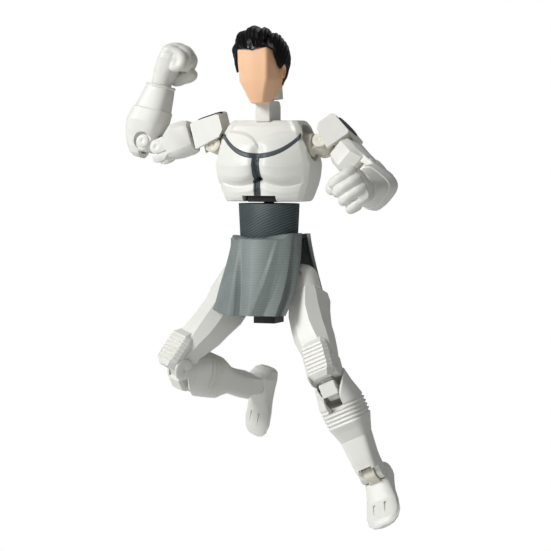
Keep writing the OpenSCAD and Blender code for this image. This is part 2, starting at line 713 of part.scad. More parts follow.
// Domed cap with a slot for the hip link and a peg down the thigh.
cap_r = 4.4;
cap_low = -4.2;
module hip_cap(side) color(white) at_hip(side) difference() {
    union() {
        sphere(r = cap_r);
        translate([0, 0, cap_low]) cylinder(r = cap_r, h = -cap_low);
        translate([0, 0, cap_low - peg_len]) cylinder(r = peg_r, h = peg_len + 1);
    }
    box(-6, knuckle_r + side_gap, -slot_half, slot_half, -knuckle_r - side_gap, 6);
    rod_y(pin_r, -5, 5);
    box(-5, 5, -5, 5, -30, cap_low - peg_len);
}

module hip_pin(side) color(ivory) at_hip(side) rod_y(pin_r, -3.6, 3.6);

knee_ear_r = (knee_span - side_gap) / 2;
knee_ear_w = 4;
thigh_top = cap_low - side_gap;
module thigh_form() loft([[3 - thigh_len, octagon(4.2, 2.8, 1.1, 0, knee_y)],
    [6.4 - thigh_len, octagon(4.7, 3.9, 1.5, 0, knee_y)],
    [-0.57 * thigh_len, octagon(thigh_half, thigh_half, 2.2, -0.3, -0.2)],
    [-0.36 * thigh_len, octagon(thigh_half * 0.96, thigh_half * 0.97, 2.1, -0.2, 0)],
    [thigh_top, octagon(cap_r - 0.1, cap_r, 1.4)]]);

module thigh(side) color(white) at_thigh(side) difference() {
    union() {
        thigh_form();
        translate([0, knee_y, -thigh_len]) fork(knee_ear_r, knee_ear_w, knee_ear_r, 3.2);
    }
    translate([0, knee_y, -thigh_len]) {
        rod_x(pin_bore, -6, 6);
        box(-slot_half, slot_half, -8, 8, -4, knee_ear_r + side_gap);
    }
    translate([0, 0, thigh_top - peg_len - 0.5]) cylinder(r = axle_bore, h = peg_len + 2);
}

// Ribbed plate over the front of the knee, fixed to the thigh.
module knee_cap(side) color(white) at_thigh(side) difference() {
    back = knee_y - knee_ear_r - side_gap;
    front = -6.1;
    top = 7.4 - thigh_len;
    low = -3.8 - thigh_len;
    rotate([90, 0, 90]) linear_extrude(height = 8.2, center = true)
        polygon([[back, low + 0.6], [front + 1.4, low], [front, low + 1.8], [front, top - 2.4],
            [front + 2.4, top], [back, top]]);
    thigh_form();
    for (k = [0:6]) box(-3.2, 3.2, front - 1, front + 0.35, low + 2.2 + k * 0.95, low + 2.55 + k * 0.95);
}

module knee_link(side) color(ivory) at_knee(side) link(knee_ear_r, knee_span);

// The lower pin carries a domed head on each end.
module knee_pins(side) color(white) at_knee(side) {
    rod_x(pin_r, -knee_ear_w, knee_ear_w);
    translate([0, 0, -knee_span]) {
        rod_x(pin_r, -knee_ear_w - 0.2, knee_ear_w + 0.2);
        for (end = [LEFT, RIGHT]) on_side(end) difference() {
            rod_x(knee_ear_r - 0.1, knee_ear_w + run_gap, knee_ear_w + 0.8);
            rod_x(0.4, knee_ear_w + 0.3, knee_ear_w + 2);
        }
    }
}

ankle_ear_r = 2.2;
ankle_ear_w = 3.3;
module shin(side) color(white) at_shin(side) difference() {
    flare = -0.3 * shin_len;
    union() {
        loft([[2.9 - shin_len, octagon(3.4, 3.3, 1.1, 0, -knee_y)],
            [-0.55 * shin_len, octagon(3.8, 3.9, 1.2, 0, 0.8)],
            [flare - 2.6, octagon(shin_half * 0.74, 4.4, 1.4, 0, 1)],
            [flare, octagon(shin_half, 5.2, 1.8, 0, 0.8)],
            [-3.6, octagon(shin_half * 0.97, 5.0, 1.8, 0, 0.7)],
            [-2.2, octagon(shin_half * 0.8, 3.6, 1.6, 0, 0.6)]]);
        fork(knee_ear_r, knee_ear_w, knee_ear_r, -3);
        translate([0, -knee_y, -shin_len]) fork_ankle();
    }
    rod_x(pin_bore, -6, 6);
    for (end = [LEFT, RIGHT]) on_side(end) rod_x(knee_ear_r + run_gap, knee_ear_w, 8);
    box(-slot_half, slot_half, -8, 8, -knee_ear_r - side_gap, 4);
    box(-slot_half, slot_half, -8, -1.6, -6.4, 0);
    translate([0, -knee_y, -shin_len]) {
        rod_x(pin_bore, -6, 6);
        box(-slot_half, slot_half, -8, 8, -4, ankle_ear_r + side_gap);
    }
}
module fork_ankle() fork(ankle_ear_r, ankle_ear_w, ankle_ear_r, 3);

// Knuckle in the shin's lower fork with a stem pressed into the foot.
module ankle_link(side) color(ivory) at_foot(side) difference() {
    union() {
        rod_x(ankle_ear_r - 0.1, -knuckle_half, knuckle_half);
        box(-knuckle_half, knuckle_half, -1.7, 1.7, -5.6, 0);
    }
    rod_x(pin_r, -4, 4);
}

module ankle_pin(side) color(ivory) at_foot(side) rod_x(pin_r, -ankle_ear_w, ankle_ear_w);

// Foot built from heel to toe, with a saddle under the ankle and a socket for the stem.
module foot(side) color(white) at_foot(side) difference() {
    toe = 0.675 * foot_len;
    rotate([90, 0, 0]) loft([
        [toe - foot_len, octagon(2.8, 2.2, 1, 0, -4.6)],
        [toe - foot_len + 1.5, octagon(3.6, 4, 1.3, 0, -4.4)],
        [0.12 * foot_len, octagon(foot_half * 0.88, 3.6, 1.2, 0, -4.9)],
        [0.4 * foot_len, octagon(foot_half, 2.1, 0.9, 0, -6.4)],
        [toe - 1.6, octagon(foot_half * 0.92, 1.6, 0.8, 0, -6.7)],
        [toe, octagon(foot_half * 0.64, 0.9, 0.5, 0, -6.9)]]);
    rod_x(ankle_ear_r + side_gap, -6, 6);
    box(-knuckle_half - 0.02, knuckle_half + 0.02, -1.72, 1.72, -5.7, 1);
}

// ---- The two sides ----

module shoulder_link_left() shoulder_link(LEFT);
module shoulder_pin_left() shoulder_pin(LEFT);
module shoulder_core_left() shoulder_core(LEFT);
module shoulder_cap_left() shoulder_cap(LEFT);
module shoulder_disc_left() shoulder_disc(LEFT);
module upper_arm_left() upper_arm(LEFT);
module elbow_link_left() elbow_link(LEFT);
module elbow_pins_left() elbow_pins(LEFT);
module forearm_left() forearm(LEFT);
module hand_left() hand(LEFT);
module hip_link_left() hip_link(LEFT);
module hip_pin_left() hip_pin(LEFT);
module hip_cap_left() hip_cap(LEFT);
module thigh_left() thigh(LEFT);
module knee_cap_left() knee_cap(LEFT);
module knee_link_left() knee_link(LEFT);
module knee_pins_left() knee_pins(LEFT);
module shin_left() shin(LEFT);
module ankle_link_left() ankle_link(LEFT);
module ankle_pin_left() ankle_pin(LEFT);
module foot_left() foot(LEFT);
module shoulder_link_right() shoulder_link(RIGHT);
module shoulder_pin_right() shoulder_pin(RIGHT);
module shoulder_core_right() shoulder_core(RIGHT);
module shoulder_cap_right() shoulder_cap(RIGHT);
module shoulder_disc_right() shoulder_disc(RIGHT);
module upper_arm_right() upper_arm(RIGHT);
module elbow_link_right() elbow_link(RIGHT);
module elbow_pins_right() elbow_pins(RIGHT);
module forearm_right() forearm(RIGHT);
module hand_right() hand(RIGHT);
module hip_link_right() hip_link(RIGHT);
module hip_pin_right() hip_pin(RIGHT);
module hip_cap_right() hip_cap(RIGHT);
module thigh_right() thigh(RIGHT);
module knee_cap_right() knee_cap(RIGHT);
module knee_link_right() knee_link(RIGHT);
module knee_pins_right() knee_pins(RIGHT);
module shin_right() shin(RIGHT);
module ankle_link_right() ankle_link(RIGHT);
module ankle_pin_right() ankle_pin(RIGHT);
module foot_right() foot(RIGHT);

head_core();
face_plate();
hair();
neck();
neck_pin();
chest_core();
chest_front();
chest_back();
collar_stripe();
zip_strip();
waist_joint();
waist();
waist_pin();
pelvis();
skirt_front();
skirt_back();
shoulder_link_left();
shoulder_pin_left();
shoulder_core_left();
shoulder_cap_left();
shoulder_disc_left();
upper_arm_left();
elbow_link_left();
elbow_pins_left();
forearm_left();
hand_left();
hip_link_left();
hip_pin_left();
hip_cap_left();
thigh_left();
knee_cap_left();
knee_link_left();
knee_pins_left();
shin_left();
ankle_link_left();
ankle_pin_left();
foot_left();
shoulder_link_right();
shoulder_pin_right();
shoulder_core_right();
shoulder_cap_right();
shoulder_disc_right();
upper_arm_right();
elbow_link_right();
elbow_pins_right();
forearm_right();
hand_right();
hip_link_right();
hip_pin_right();
hip_cap_right();
thigh_right();
knee_cap_right();
knee_link_right();
knee_pins_right();
shin_right();
ankle_link_right();
ankle_pin_right();
foot_right();
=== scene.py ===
"""A jointed humanoid kit: off-white armour over an ivory frame of links and pins, with a skirt and hair."""
import json
import math

import bmesh
import bpy
import numpy as np
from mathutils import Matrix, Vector

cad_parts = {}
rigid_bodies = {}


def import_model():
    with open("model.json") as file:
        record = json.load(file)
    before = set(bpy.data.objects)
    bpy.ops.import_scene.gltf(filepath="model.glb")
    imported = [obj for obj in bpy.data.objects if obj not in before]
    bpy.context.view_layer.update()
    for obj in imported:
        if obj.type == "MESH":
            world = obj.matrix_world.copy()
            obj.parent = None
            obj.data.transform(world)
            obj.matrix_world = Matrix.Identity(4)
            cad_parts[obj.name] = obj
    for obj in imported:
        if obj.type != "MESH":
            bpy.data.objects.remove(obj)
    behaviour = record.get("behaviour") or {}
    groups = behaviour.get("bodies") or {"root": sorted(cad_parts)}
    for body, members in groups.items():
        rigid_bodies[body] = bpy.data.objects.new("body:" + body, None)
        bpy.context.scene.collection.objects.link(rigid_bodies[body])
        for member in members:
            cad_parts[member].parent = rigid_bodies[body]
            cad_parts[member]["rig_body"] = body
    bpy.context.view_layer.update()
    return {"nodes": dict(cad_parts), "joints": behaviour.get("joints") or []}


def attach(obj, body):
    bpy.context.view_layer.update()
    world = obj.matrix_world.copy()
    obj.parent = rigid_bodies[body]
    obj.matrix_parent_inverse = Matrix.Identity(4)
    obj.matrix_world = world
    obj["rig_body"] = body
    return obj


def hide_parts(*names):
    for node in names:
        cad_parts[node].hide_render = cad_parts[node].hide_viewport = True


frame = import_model()

# ---- Room ----
# A pale floor well below the figure, a white surround, three soft lamps and a camera a little to the figure's
# left of straight ahead. The floor takes the figure's shadow and fades into the white around it.
TURN, RISE, REACH = math.radians(20.48), math.radians(3.28), 0.65
right_of_camera = Vector((math.cos(TURN), math.sin(TURN), 0))
back = Vector((math.sin(TURN) * math.cos(RISE), -math.cos(TURN) * math.cos(RISE), math.sin(RISE)))
aim = Vector((0, -0.009, 0)) + right_of_camera * 0.0027 + back.cross(right_of_camera) * -0.03541
camera = bpy.data.objects.new("camera", bpy.data.cameras.new("camera"))
camera.data.sensor_width = 36
camera.data.lens = 149.9
camera.location = aim + back * REACH
camera.rotation_euler = back.to_track_quat("Z", "Y").to_euler()
bpy.context.scene.collection.objects.link(camera)
bpy.context.scene.camera = camera
bpy.context.scene.view_settings.view_transform = "Standard"


def lamp(name, place, size, power):
    """A square area lamp at place, facing the figure's chest."""
    light = bpy.data.objects.new(name, bpy.data.lights.new(name, "AREA"))
    light.data.size = size
    light.data.energy = power
    light.location = place
    light.rotation_euler = (Vector(place) - Vector((0, 0, -0.03))).to_track_quat("Z", "Y").to_euler()
    bpy.context.scene.collection.objects.link(light)


lamp("key", (-0.6, -0.8, 0.52), 0.45, 10.2)
lamp("fill", (0.9, -0.6, 0.1), 0.6, 0.22)
lamp("rear", (0.25, 0.8, 0.7), 0.5, 0.9)


class Wire:
    """A value on its way through a material. Sums, differences and products of wires and numbers add Math
    nodes."""

    def __init__(self, tree, socket=None):
        self.tree = tree
        self.socket = socket

    def add(self, kind, settings=(), sockets=(), out=0):
        """Adds a node: its settings first, then the number, colour or wire of each socket. Returns one
        output."""
        made = self.tree.nodes.new("ShaderNode" + kind)
        for name, value in dict(settings).items():
            if name == "stops":
                while len(made.color_ramp.elements) < len(value):
                    made.color_ramp.elements.new(1)
                for stop, (place, colour) in zip(made.color_ramp.elements, value):
                    stop.position = place
                    stop.color = (*colour, 1)
            else:
                setattr(made, name, value)
        for name, value in dict(sockets).items():
            if isinstance(value, Wire):
                self.tree.links.new(value.socket, made.inputs[name])
            else:
                made.inputs[name].default_value = value
        return Wire(self.tree, made.outputs[out]) if made.outputs else None

    def sum_of(self, operation, *values):
        return self.add("Math", {"operation": operation}, dict(enumerate(values)))

    def __add__(self, other):
        return self.sum_of("ADD", self, other)

    def __sub__(self, other):
        return self.sum_of("SUBTRACT", self, other)

    def __rsub__(self, other):
        return self.sum_of("SUBTRACT", other, self)

    def __mul__(self, other):
        return self.sum_of("MULTIPLY", self, other)

    __radd__ = __add__
    __rmul__ = __mul__


world = bpy.data.worlds.new("surround")
bpy.context.scene.world = world
world.use_nodes = True
world.node_tree.nodes.clear()
sky = Wire(world.node_tree)
seen = sky.add("LightPath", out=0)
glow = sky.add("Background", sockets={"Color": (1, 1, 1, 1), "Strength": 0.17})
white = sky.add("Background", sockets={"Color": (1, 1, 1, 1), "Strength": 1.0})
mixed = sky.add("MixShader", sockets={0: seen, 1: glow, 2: white})
sky.add("OutputWorld", sockets={0: mixed})

FLOOR_HALF, FLOOR_Z, FADE_START, FADE_END = 4, -0.17, 0.17, 0.34
floor_corners = [(x * FLOOR_HALF, y * FLOOR_HALF, FLOOR_Z) for x, y in ((-1, -1), (1, -1), (1, 1), (-1, 1))]
floor_mesh = bpy.data.meshes.new("floor")
floor_mesh.from_pydata(floor_corners, [], [(0, 1, 2, 3)])
floor = bpy.data.objects.new("floor", floor_mesh)
bpy.context.scene.collection.objects.link(floor)
paper = bpy.data.materials.new("pale_paper")
paper.use_nodes = True
paper.node_tree.nodes.clear()
sheet = Wire(paper.node_tree)
place = sheet.add("TexCoord", out=3)
far = sheet.add("VectorMath", {"operation": "LENGTH"}, {0: place}, out=1)
fade = sheet.add("MapRange", {"interpolation_type": "SMOOTHSTEP"}, {0: far, 1: FADE_START, 2: FADE_END})
seen = sheet.add("LightPath", out=0)
diffuse = sheet.add("BsdfDiffuse", sockets={"Color": (0.92, 0.92, 0.92, 1)})
lit = sheet.add("Emission", sockets={"Color": (1, 1, 1, 1), "Strength": 1.0})
share = seen * (fade * 0.45 + 0.55)
mixed = sheet.add("MixShader", sockets={0: share, 1: diffuse, 2: lit})
sheet.add("OutputMaterial", sockets={0: mixed})
floor_mesh.materials.append(paper)

# ---- Inner frame ----
# Links, knuckles and pins that carry the armour, moulded in ivory nylon with soft corners and a matte face.
# Pins are pressed into their links, and the armour turns on them.


def shade(red, green, blue):
    """A display colour from 0 to 255 as the linear colour that a shader takes."""
    levels = np.array([red, green, blue]) / 255
    curve = ((levels + 0.055) / 1.055) ** 2.4
    return tuple(float(x) for x in np.where(levels <= 0.04045, levels / 12.92, curve))


def start(name):
    """An empty material with a Principled shader: its first wire and the shader node."""
    made = bpy.data.materials.new(name)
    made.use_nodes = True
    tree = made.node_tree
    return made, Wire(tree), tree.nodes["Principled BSDF"]


def feed(wire, shader, socket):
    """Links a wire to a socket of the shader."""
    wire.tree.links.new(wire.socket, shader.inputs[socket])


def tinted(wire, mask, low, high):
    """The colour low where the mask is 0 and high where it is 1."""
    return wire.add("Mix", {"data_type": "RGBA"}, {0: mask, 6: (*low, 1), 7: (*high, 1)}, out=2)


def plastic(name, colour, roughness, drift=0.035, grain=0.012):
    """Moulded plastic: its colour drifts by a few hundredths, and a fine grain roughens and dents the
    skin."""
    made, wire, shader = start(name)
    where = wire.add("TexCoord", out=3)
    broad = wire.add("TexNoise", sockets={"Vector": where, "Scale": 90.0, "Detail": 3.0})
    fine = wire.add("TexNoise", sockets={"Vector": where, "Scale": 2600.0, "Detail": 2.0})
    dull = tuple(c * (1 - 2 * drift) for c in colour)
    feed(tinted(wire, broad * 0.7 + fine * 0.3, dull, colour), shader, "Base Color")
    feed(broad * 0.1 + fine * 0.12 + (roughness - 0.11), shader, "Roughness")
    dents = wire.add("Bump", sockets={"Strength": 0.35, "Distance": grain * 0.001, "Height": fine})
    feed(dents, shader, "Normal")
    return made


def merged(node):
    """A copy of a CAD node's mesh with its doubles merged and its flat faces made whole."""
    body = bmesh.new()
    body.from_mesh(frame["nodes"][node].data)
    bmesh.ops.remove_doubles(body, verts=body.verts, dist=2e-6)
    bmesh.ops.dissolve_limit(body, angle_limit=0.01, verts=body.verts, edges=body.edges)
    mesh = bpy.data.meshes.new(node + "_skin")
    body.to_mesh(mesh)
    body.free()
    return mesh


def dress(mesh, name, body, material, nodes=(), bevel=0.0, segments=2, angle=28):
    """Puts a mesh on a body, with its edges rounded where faces meet at more than angle, for the nodes it
    replaces."""
    piece = bpy.data.objects.new(name, mesh)
    bpy.context.scene.collection.objects.link(piece)
    mesh.materials.clear()
    mesh.materials.append(material)
    mesh.shade_smooth()
    if bevel:
        rounding = piece.modifiers.new("rounding", "BEVEL")
        rounding.width = bevel * 0.001
        rounding.segments = segments
        rounding.limit_method = "ANGLE"
        rounding.angle_limit = math.radians(angle)
        rounding.harden_normals = True
        rounding.miter_outer = "MITER_ARC"
    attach(piece, body)
    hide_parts(*nodes)
    return piece


def moulded(node, material, bevel, segments=2):
    """A CAD node's own shape with rounded edges, riding where the node rides."""
    body = frame["nodes"][node]["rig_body"]
    return dress(merged(node), node + "_skin", body, material, [node], bevel, segments)


SIDES = ("left", "right")
ivory = plastic("ivory_nylon", shade(234, 231, 216), 0.5)
for node in ["chest_core", "head_core", "neck_pin", "waist_pin"] + [
    part + "_" + side
    for side in SIDES
    for part in ("shoulder_link", "shoulder_pin", "elbow_link", "hip_link", "ankle_link")
]:
    moulded(node, ivory, 0.12)

# ---- Chest ----
# Two half shells, front and back, moulded in satin white and snapped together over the inner frame. The
# breast, the belly plates and the shoulder blades are one skin, cut for the arms, the neck and the waist
# block.
TOP, LOW, MIDDLE_Y = 8.5, -14.4, -6.5
# Heights of the skin's levels, with its half width, its breast line, its front corners and its back at
# each.
LEVELS = np.array([
    [-14.4, 11.3, -12.6, -11.2, -1.2], [-14.0, 11.6, -13.4, -11.6, -0.7], [-13.2, 12.0, -14.0, -11.9, -0.4],
    [-11.5, 12.6, -14.6, -12.2, -0.1], [-10.1, 13.1, -14.4, -12.3, 0.0], [-9.6, 13.3, -13.8, -12.2, 0.0],
    [-9.1, 13.4, -14.4, -12.5, 0.0], [-8.1, 13.7, -15.9, -12.9, 0.0], [-7.1, 13.9, -16.7, -13.1, 0.0],
    [-4.3, 14.2, -17.6, -13.2, 0.0], [-3.3, 14.1, -17.4, -13.2, 0.0], [1.5, 12.9, -15.6, -13.0, 0.0],
    [5.0, 11.8, -13.8, -12.3, -0.2], [6.9, 10.9, -12.8, -11.8, -0.3], [8.2, 9.9, -11.7, -11.0, -0.9],
    [8.5, 9.3, -11.3, -10.7, -1.3]])


def ease(value):
    """0 below 0 and 1 above 1, with a smooth turn between."""
    value = np.clip(value, 0, 1)
    return value * value * (3 - 2 * value)


def crease(x):
    """Height of the fold below the breast: lowest under the middle of each side."""
    return -8.05 - 1.75 * np.sin(np.pi * np.clip(np.abs(x) / 14, 0, 1) ** 0.95)


def collar_line(x):
    """Height of the edge where the breast swells below the flat collar: a valley in the middle, level
    outwards."""
    return 0.2 + 4.2 * (1 - np.exp(-np.abs(x) / 2.1)) + 0.06 * np.abs(x)


def level(z, column):
    """A column of LEVELS at height z."""
    return np.interp(z, LEVELS[:, 0], LEVELS[:, column])


def breast(x, z):
    """Depth of the skin's front at x and z: the levels' curve from breast line to corner, folded along the
    crease, grooved down the middle and stepped back above the collar line."""
    window = ease((z + 14.2) / 3.5) * ease((-2.5 - z) / 4)
    bent = z - (crease(x) + 9.35) * window
    edge = level(z, 1) - 1.5
    share = np.clip(np.abs(x) / edge, 0, 1) ** 2.1
    y = level(bent, 2) * (1 - share) + level(bent, 3) * share
    groove = np.exp(-((x / 1.5) ** 2)) * ease((2.5 - z) / 3)
    y = y + groove * np.where(z > -8.2, 1.25, 0.35)
    return y + 0.5 * ease((z - collar_line(x)) / 0.9) * ease((edge + 0.6 - np.abs(x)) / 2)


def chest_skin(rows=150, front=141, side=24, rear=60):
    """Closed skin: at each height a loop of the front from corner to corner, the sides and the back, then
    the top and the bottom drawn in towards the middle."""
    z = np.interp(np.linspace(0, 1, rows), [0, 0.42, 0.5, 1], [LOW, -8.0, -5.0, TOP])[:, None]
    width, corner, back = level(z, 1), level(z, 3), level(z, 4)
    x = np.linspace(-1, 1, front) * (width - 1.5)
    face = np.stack([x, breast(x, z), z + 0 * x], -1)
    t = np.linspace(0, 1, side)[1:-1]
    run = np.interp(t, [0, 0.18, 1], [0, 1, 1])
    side_x = width - 1.5 + 1.5 * run - 0.1 * ease((t - 0.86) / 0.14)
    side_y = corner + (back - 1.2 - corner) * np.interp(t, [0, 0.18, 1], [0, 0.12, 1])
    left = np.stack([side_x, side_y, z + 0 * side_x], -1)
    u = np.linspace(1, -1, rear)
    blade = 0.9 * np.exp(-(((np.abs(u) - 0.5) / 0.28) ** 2)) * np.exp(-(((z - 1.5) / 5.0) ** 2))
    spine = 0.8 * np.exp(-((u / 0.1) ** 2)) * ease((7 - z) / 3)
    rear_x = u * (width - 0.1)
    rear_y = back - 0.9 - 0.3 * np.abs(u) ** 6 + blade - spine
    behind = np.stack([rear_x, np.minimum(rear_y, 0) + 0 * z, z + 0 * rear_x], -1)
    right = left[:, ::-1] * [-1, 1, 1]
    skin = np.concatenate([face, left, behind, right], 1)
    centre = np.array([0, MIDDLE_Y, 0])
    caps = [centre + (skin[end] - centre) * [k, k, 1] for end in (0, -1) for k in (0.92, 0.6, 0.25)]
    return np.stack(caps[2::-1] + list(skin) + caps[3:])


def surface(grid, wrap=True, ends=True):
    """Points and faces of a grid of points, rows by columns: a quad between each four neighbours. wrap
    joins the last column to the first, and ends closes the first and last rows about their middles."""
    rows, columns = grid.shape[:2]
    ids = np.arange(rows * columns).reshape(rows, columns)
    if wrap:
        ids = np.hstack([ids, ids[:, :1]])
    faces = [np.stack([ids[:-1, :-1], ids[:-1, 1:], ids[1:, 1:], ids[1:, :-1]], -1).reshape(-1, 4)]
    points = grid.reshape(-1, 3)
    if ends:
        for ring, tip in ((ids[0, ::-1], 0), (ids[-1], 1)):
            faces.append(np.stack([ring[:-1], ring[1:], np.full(len(ring) - 1, rows * columns + tip)], -1))
        points = np.vstack([points, grid[0].mean(0), grid[-1].mean(0)])
    return points, faces


def seat(origin, turn=np.eye(3)):
    """A place in metres and the axes that a piece's millimetres are measured along."""
    return np.array(origin, float), np.array(turn, float)


def mesh_of(name, parts, at=seat((0, 0, 0))):
    """One mesh from closed parts in millimetres, moved to their seat. A part whose volume comes out
    negative is inside out, so its faces are reversed."""
    points, faces, first = [], [], 0
    for part_points, part_faces in parts:
        placed = at[0] + part_points @ at[1] * 0.001
        triangles = np.vstack([f[:, [0, k, k + 1]] for f in part_faces for k in range(1, f.shape[1] - 1)])
        a, b, c = placed[triangles[:, 0]], placed[triangles[:, 1]], placed[triangles[:, 2]]
        turned = np.einsum("ij,ij->", a - placed[0], np.cross(b - placed[0], c - placed[0])) < 0
        for f in part_faces:
            faces += ((f[:, ::-1] if turned else f) + first).tolist()
        points.append(placed)
        first += len(placed)
    mesh = bpy.data.meshes.new(name)
    mesh.from_pydata(np.vstack(points).tolist(), [], faces)
    return mesh


def block(x, y, z):
    """A box between two values on each axis."""
    ring = ((x[0], y[0]), (x[1], y[0]), (x[1], y[1]), (x[0], y[1]))
    return surface(np.array([[[a, b, c] for a, b in ring] for c in z], float))


def rod(radius, x, y=0.0, z=0.0, sides=48):
    """A cylinder along x between two values, about y and z."""
    turn = np.linspace(0, 2 * np.pi, sides, endpoint=False)
    ring = np.stack([0 * turn, y + radius * np.cos(turn), z + radius * np.sin(turn)], -1)
    return surface(np.stack([ring + [x[0], 0, 0], ring + [x[1], 0, 0]]))


WELD = 1e-6


def carved(mesh, parts, operation="DIFFERENCE", at=seat((0, 0, 0))):
    """The mesh cut by closed parts, joined to them or kept within them. Points less than WELD apart are
    merged afterwards, which closes the slits that the solver can leave."""
    body = bpy.data.objects.new("work", mesh)
    tool = bpy.data.objects.new("tool", mesh_of("tool", parts, at))
    for thing in (body, tool):
        bpy.context.scene.collection.objects.link(thing)
    cut = body.modifiers.new("cut", "BOOLEAN")
    cut.operation = operation
    cut.solver = "EXACT"
    cut.object = tool
    made = bpy.data.meshes.new_from_object(body.evaluated_get(bpy.context.evaluated_depsgraph_get()))
    made.name = mesh.name
    whole = bmesh.new()
    whole.from_mesh(made)
    bmesh.ops.remove_doubles(whole, verts=whole.verts, dist=WELD)
    bmesh.ops.dissolve_degenerate(whole, edges=whole.edges, dist=WELD)
    whole.to_mesh(made)
    whole.free()
    for thing in (body, tool):
        bpy.data.objects.remove(thing)
    return made


white_plastic = plastic("satin_white", shade(238, 238, 232), 0.42)
skin = mesh_of("chest", [surface(chest_skin())])
# The hollow is the same skin, drawn in about a point in its middle.
hollow = chest_skin(rows=40, front=31, side=12, rear=20)
hollow = np.array([0, MIDDLE_Y, -3]) + (hollow - [0, MIDDLE_Y, -3]) * [0.87, 0.78, 0.86]
skin = carved(skin, [surface(hollow)])
ARMHOLE, ARMHOLE_Z, NOTCH, NECK_FRONT = 5.2, 2.3, 4.6, -10.9
skin = carved(skin, [rod(ARMHOLE, x, MIDDLE_Y, ARMHOLE_Z) for x in ((8.9, 16), (-16, -8.9))])
skin = carved(skin, [block((-2.4, 2.4), (NECK_FRONT, -2.0), (5, 10))])
skin = carved(skin, [block((-NOTCH - 0.9, NOTCH), (-18, -1.5), (-16, -12.7))])
SPLIT = -7.2
front_shell = carved(skin, [block((-20, 20), (-30, SPLIT), (-20, 20))], "INTERSECT")
back_shell = carved(skin, [block((-20, 20), (SPLIT + 0.06, 5), (-20, 20))], "INTERSECT")
STAND_R, STAND_DEPTH = 1.5, 4.0
upright = seat((0, 0, 0), [[0, 1, 0], [-1, 0, 0], [0, 0, 1]])
back_shell = carved(back_shell, [rod(STAND_R + 1.2, (-STAND_DEPTH - 0.4, -0.4))], "UNION", upright)
back_shell = carved(back_shell, [rod(STAND_R, (-STAND_DEPTH, 2))], "DIFFERENCE", upright)
dress(front_shell, "chest_front_skin", "chest", white_plastic, ["chest_front"], 0.2, 2, 40)
dress(back_shell, "chest_back_skin", "chest", white_plastic, ["chest_back"], 0.2, 2, 40)

# ---- Collar stripe and zip ----
# A dark ribbon inlaid across the breast and a zip down the groove below it, printed in dark grey and
# pressed in.


def inlay(low, high, left, right, proud, columns=90, across=9):
    """A strip on the breast between two height lines and two sides: it stands proud in the middle and its
    rim is sunk in the skin."""
    u = np.linspace(0, 1, columns)[:, None]
    v = np.linspace(0, 1, across)
    x = left + (right - left) * u
    z = low(x) + (high(x) - low(x)) * v
    lift = proud * np.minimum(ease(v * 6) * ease((1 - v) * 6), ease(u * 60) * ease((1 - u) * 60))
    outer = np.stack([x + 0 * z, breast(x, z) - lift, z], -1)
    inner = outer + [0, 0.7, 0]
    return surface(np.concatenate([outer, inner[:, ::-1]], 1))


def stripe_middle(x):
    """Height of the collar stripe: an arc lowest at the zip, rising faster near the shoulders."""
    return -1.45 + 19.0 - np.sqrt(19.0 ** 2 - x ** 2) + 0.0011 * np.abs(x) ** 3


dark = plastic("dark_print", shade(72, 80, 84), 0.5)
stripe = mesh_of("collar_stripe", [
    inlay(lambda x: stripe_middle(x) - 0.75, lambda x: stripe_middle(x) + 0.7, -11.6, 11.6, 0.22)])
dress(stripe, "collar_stripe_skin", "chest", dark, ["collar_stripe"])
rails = [inlay(lambda x, a=a: a + 0 * x, lambda x, b=b: b + 0 * x, left, right, lift, 7, 61)
         for a, b, left, right, lift in ((-8.6, -2.1, -1.5, -0.6, 0.3), (-8.6, -2.1, -0.1, 0.7, 0.3),
                                         (-8.6, -2.1, -0.6, -0.1, 0.1), (-12.7, -8.3, -1.75, -1.1, 0.3),
                                         (-12.7, -8.3, -0.5, 0.15, 0.3), (-12.7, -8.3, -1.1, -0.5, 0.1))]
dress(mesh_of("zip", rails), "zip_skin", "chest", dark, ["zip_strip"])

# ---- Face ----
# A blank face moulded in skin-coloured plastic: a broad front plane with a shallow ridge, folded back below
# the cheeks, between two side planes that run to the ears. Each ear is a small rimmed shell of the same
# plastic.
HEAD = seat((0, -0.007, 0.014), [[0.998, 0, 0.07], [0, 1, 0], [-0.07, 0, 0.998]])
FOLD, BROW, CHIN = 5.5, 14.8, -1.05
# Heights with the half width of the front plane, of the cheek behind it and of the ear line, and the
# front's depth.
FACE = np.array([[-1.05, 1.8, 2.6, 3.6, -9.1], [0.8, 2.3, 3.6, 4.5, -9.9], [FOLD, 3.95, 5.6, 5.9, -10.9],
                 [9.5, 4.35, 5.8, 6.2, -10.9], [BROW, 4.4, 5.6, 6.0, -10.4]])


def face_grid():
    """Outline points across (ear line, cheek, front edge, ridge and back again) by rows up. A column's row
    height runs from the jaw to the fold to the brow; its half width and depth come from FACE at that
    height."""
    jaw = np.array([3.9, -0.8, CHIN, CHIN, CHIN, -0.8, 3.9])
    side = np.array([-1, -1, -1, 0, 1, 1, 1])
    kind = np.array([3, 2, 1, 1, 1, 2, 3])
    rows = np.array([0, 0.25, 0.5, 0.75, 1])[:, None]
    z = np.where(rows < 0.5, jaw + (FOLD - jaw) * rows * 2, FOLD + (BROW - FOLD) * (rows * 2 - 1))
    table = np.stack([np.interp(z, FACE[:, 0], FACE[:, k]) for k in (1, 2, 3)], -1)
    x = side * np.take_along_axis(table, np.broadcast_to(kind - 1, z.shape)[..., None], -1)[..., 0]
    front = np.interp(z, FACE[:, 0], FACE[:, 4])
    y = np.select([kind == 1, kind == 2], [front - np.where(side == 0, 0.28, 0), front + 4.1], -0.8)
    loop = np.stack([x, y, z], -1)
    behind = loop[:, ::6] * [0.7, 1, 1] + [0, 0.6, 0]
    return np.concatenate([loop, behind[:, ::-1]], 1)


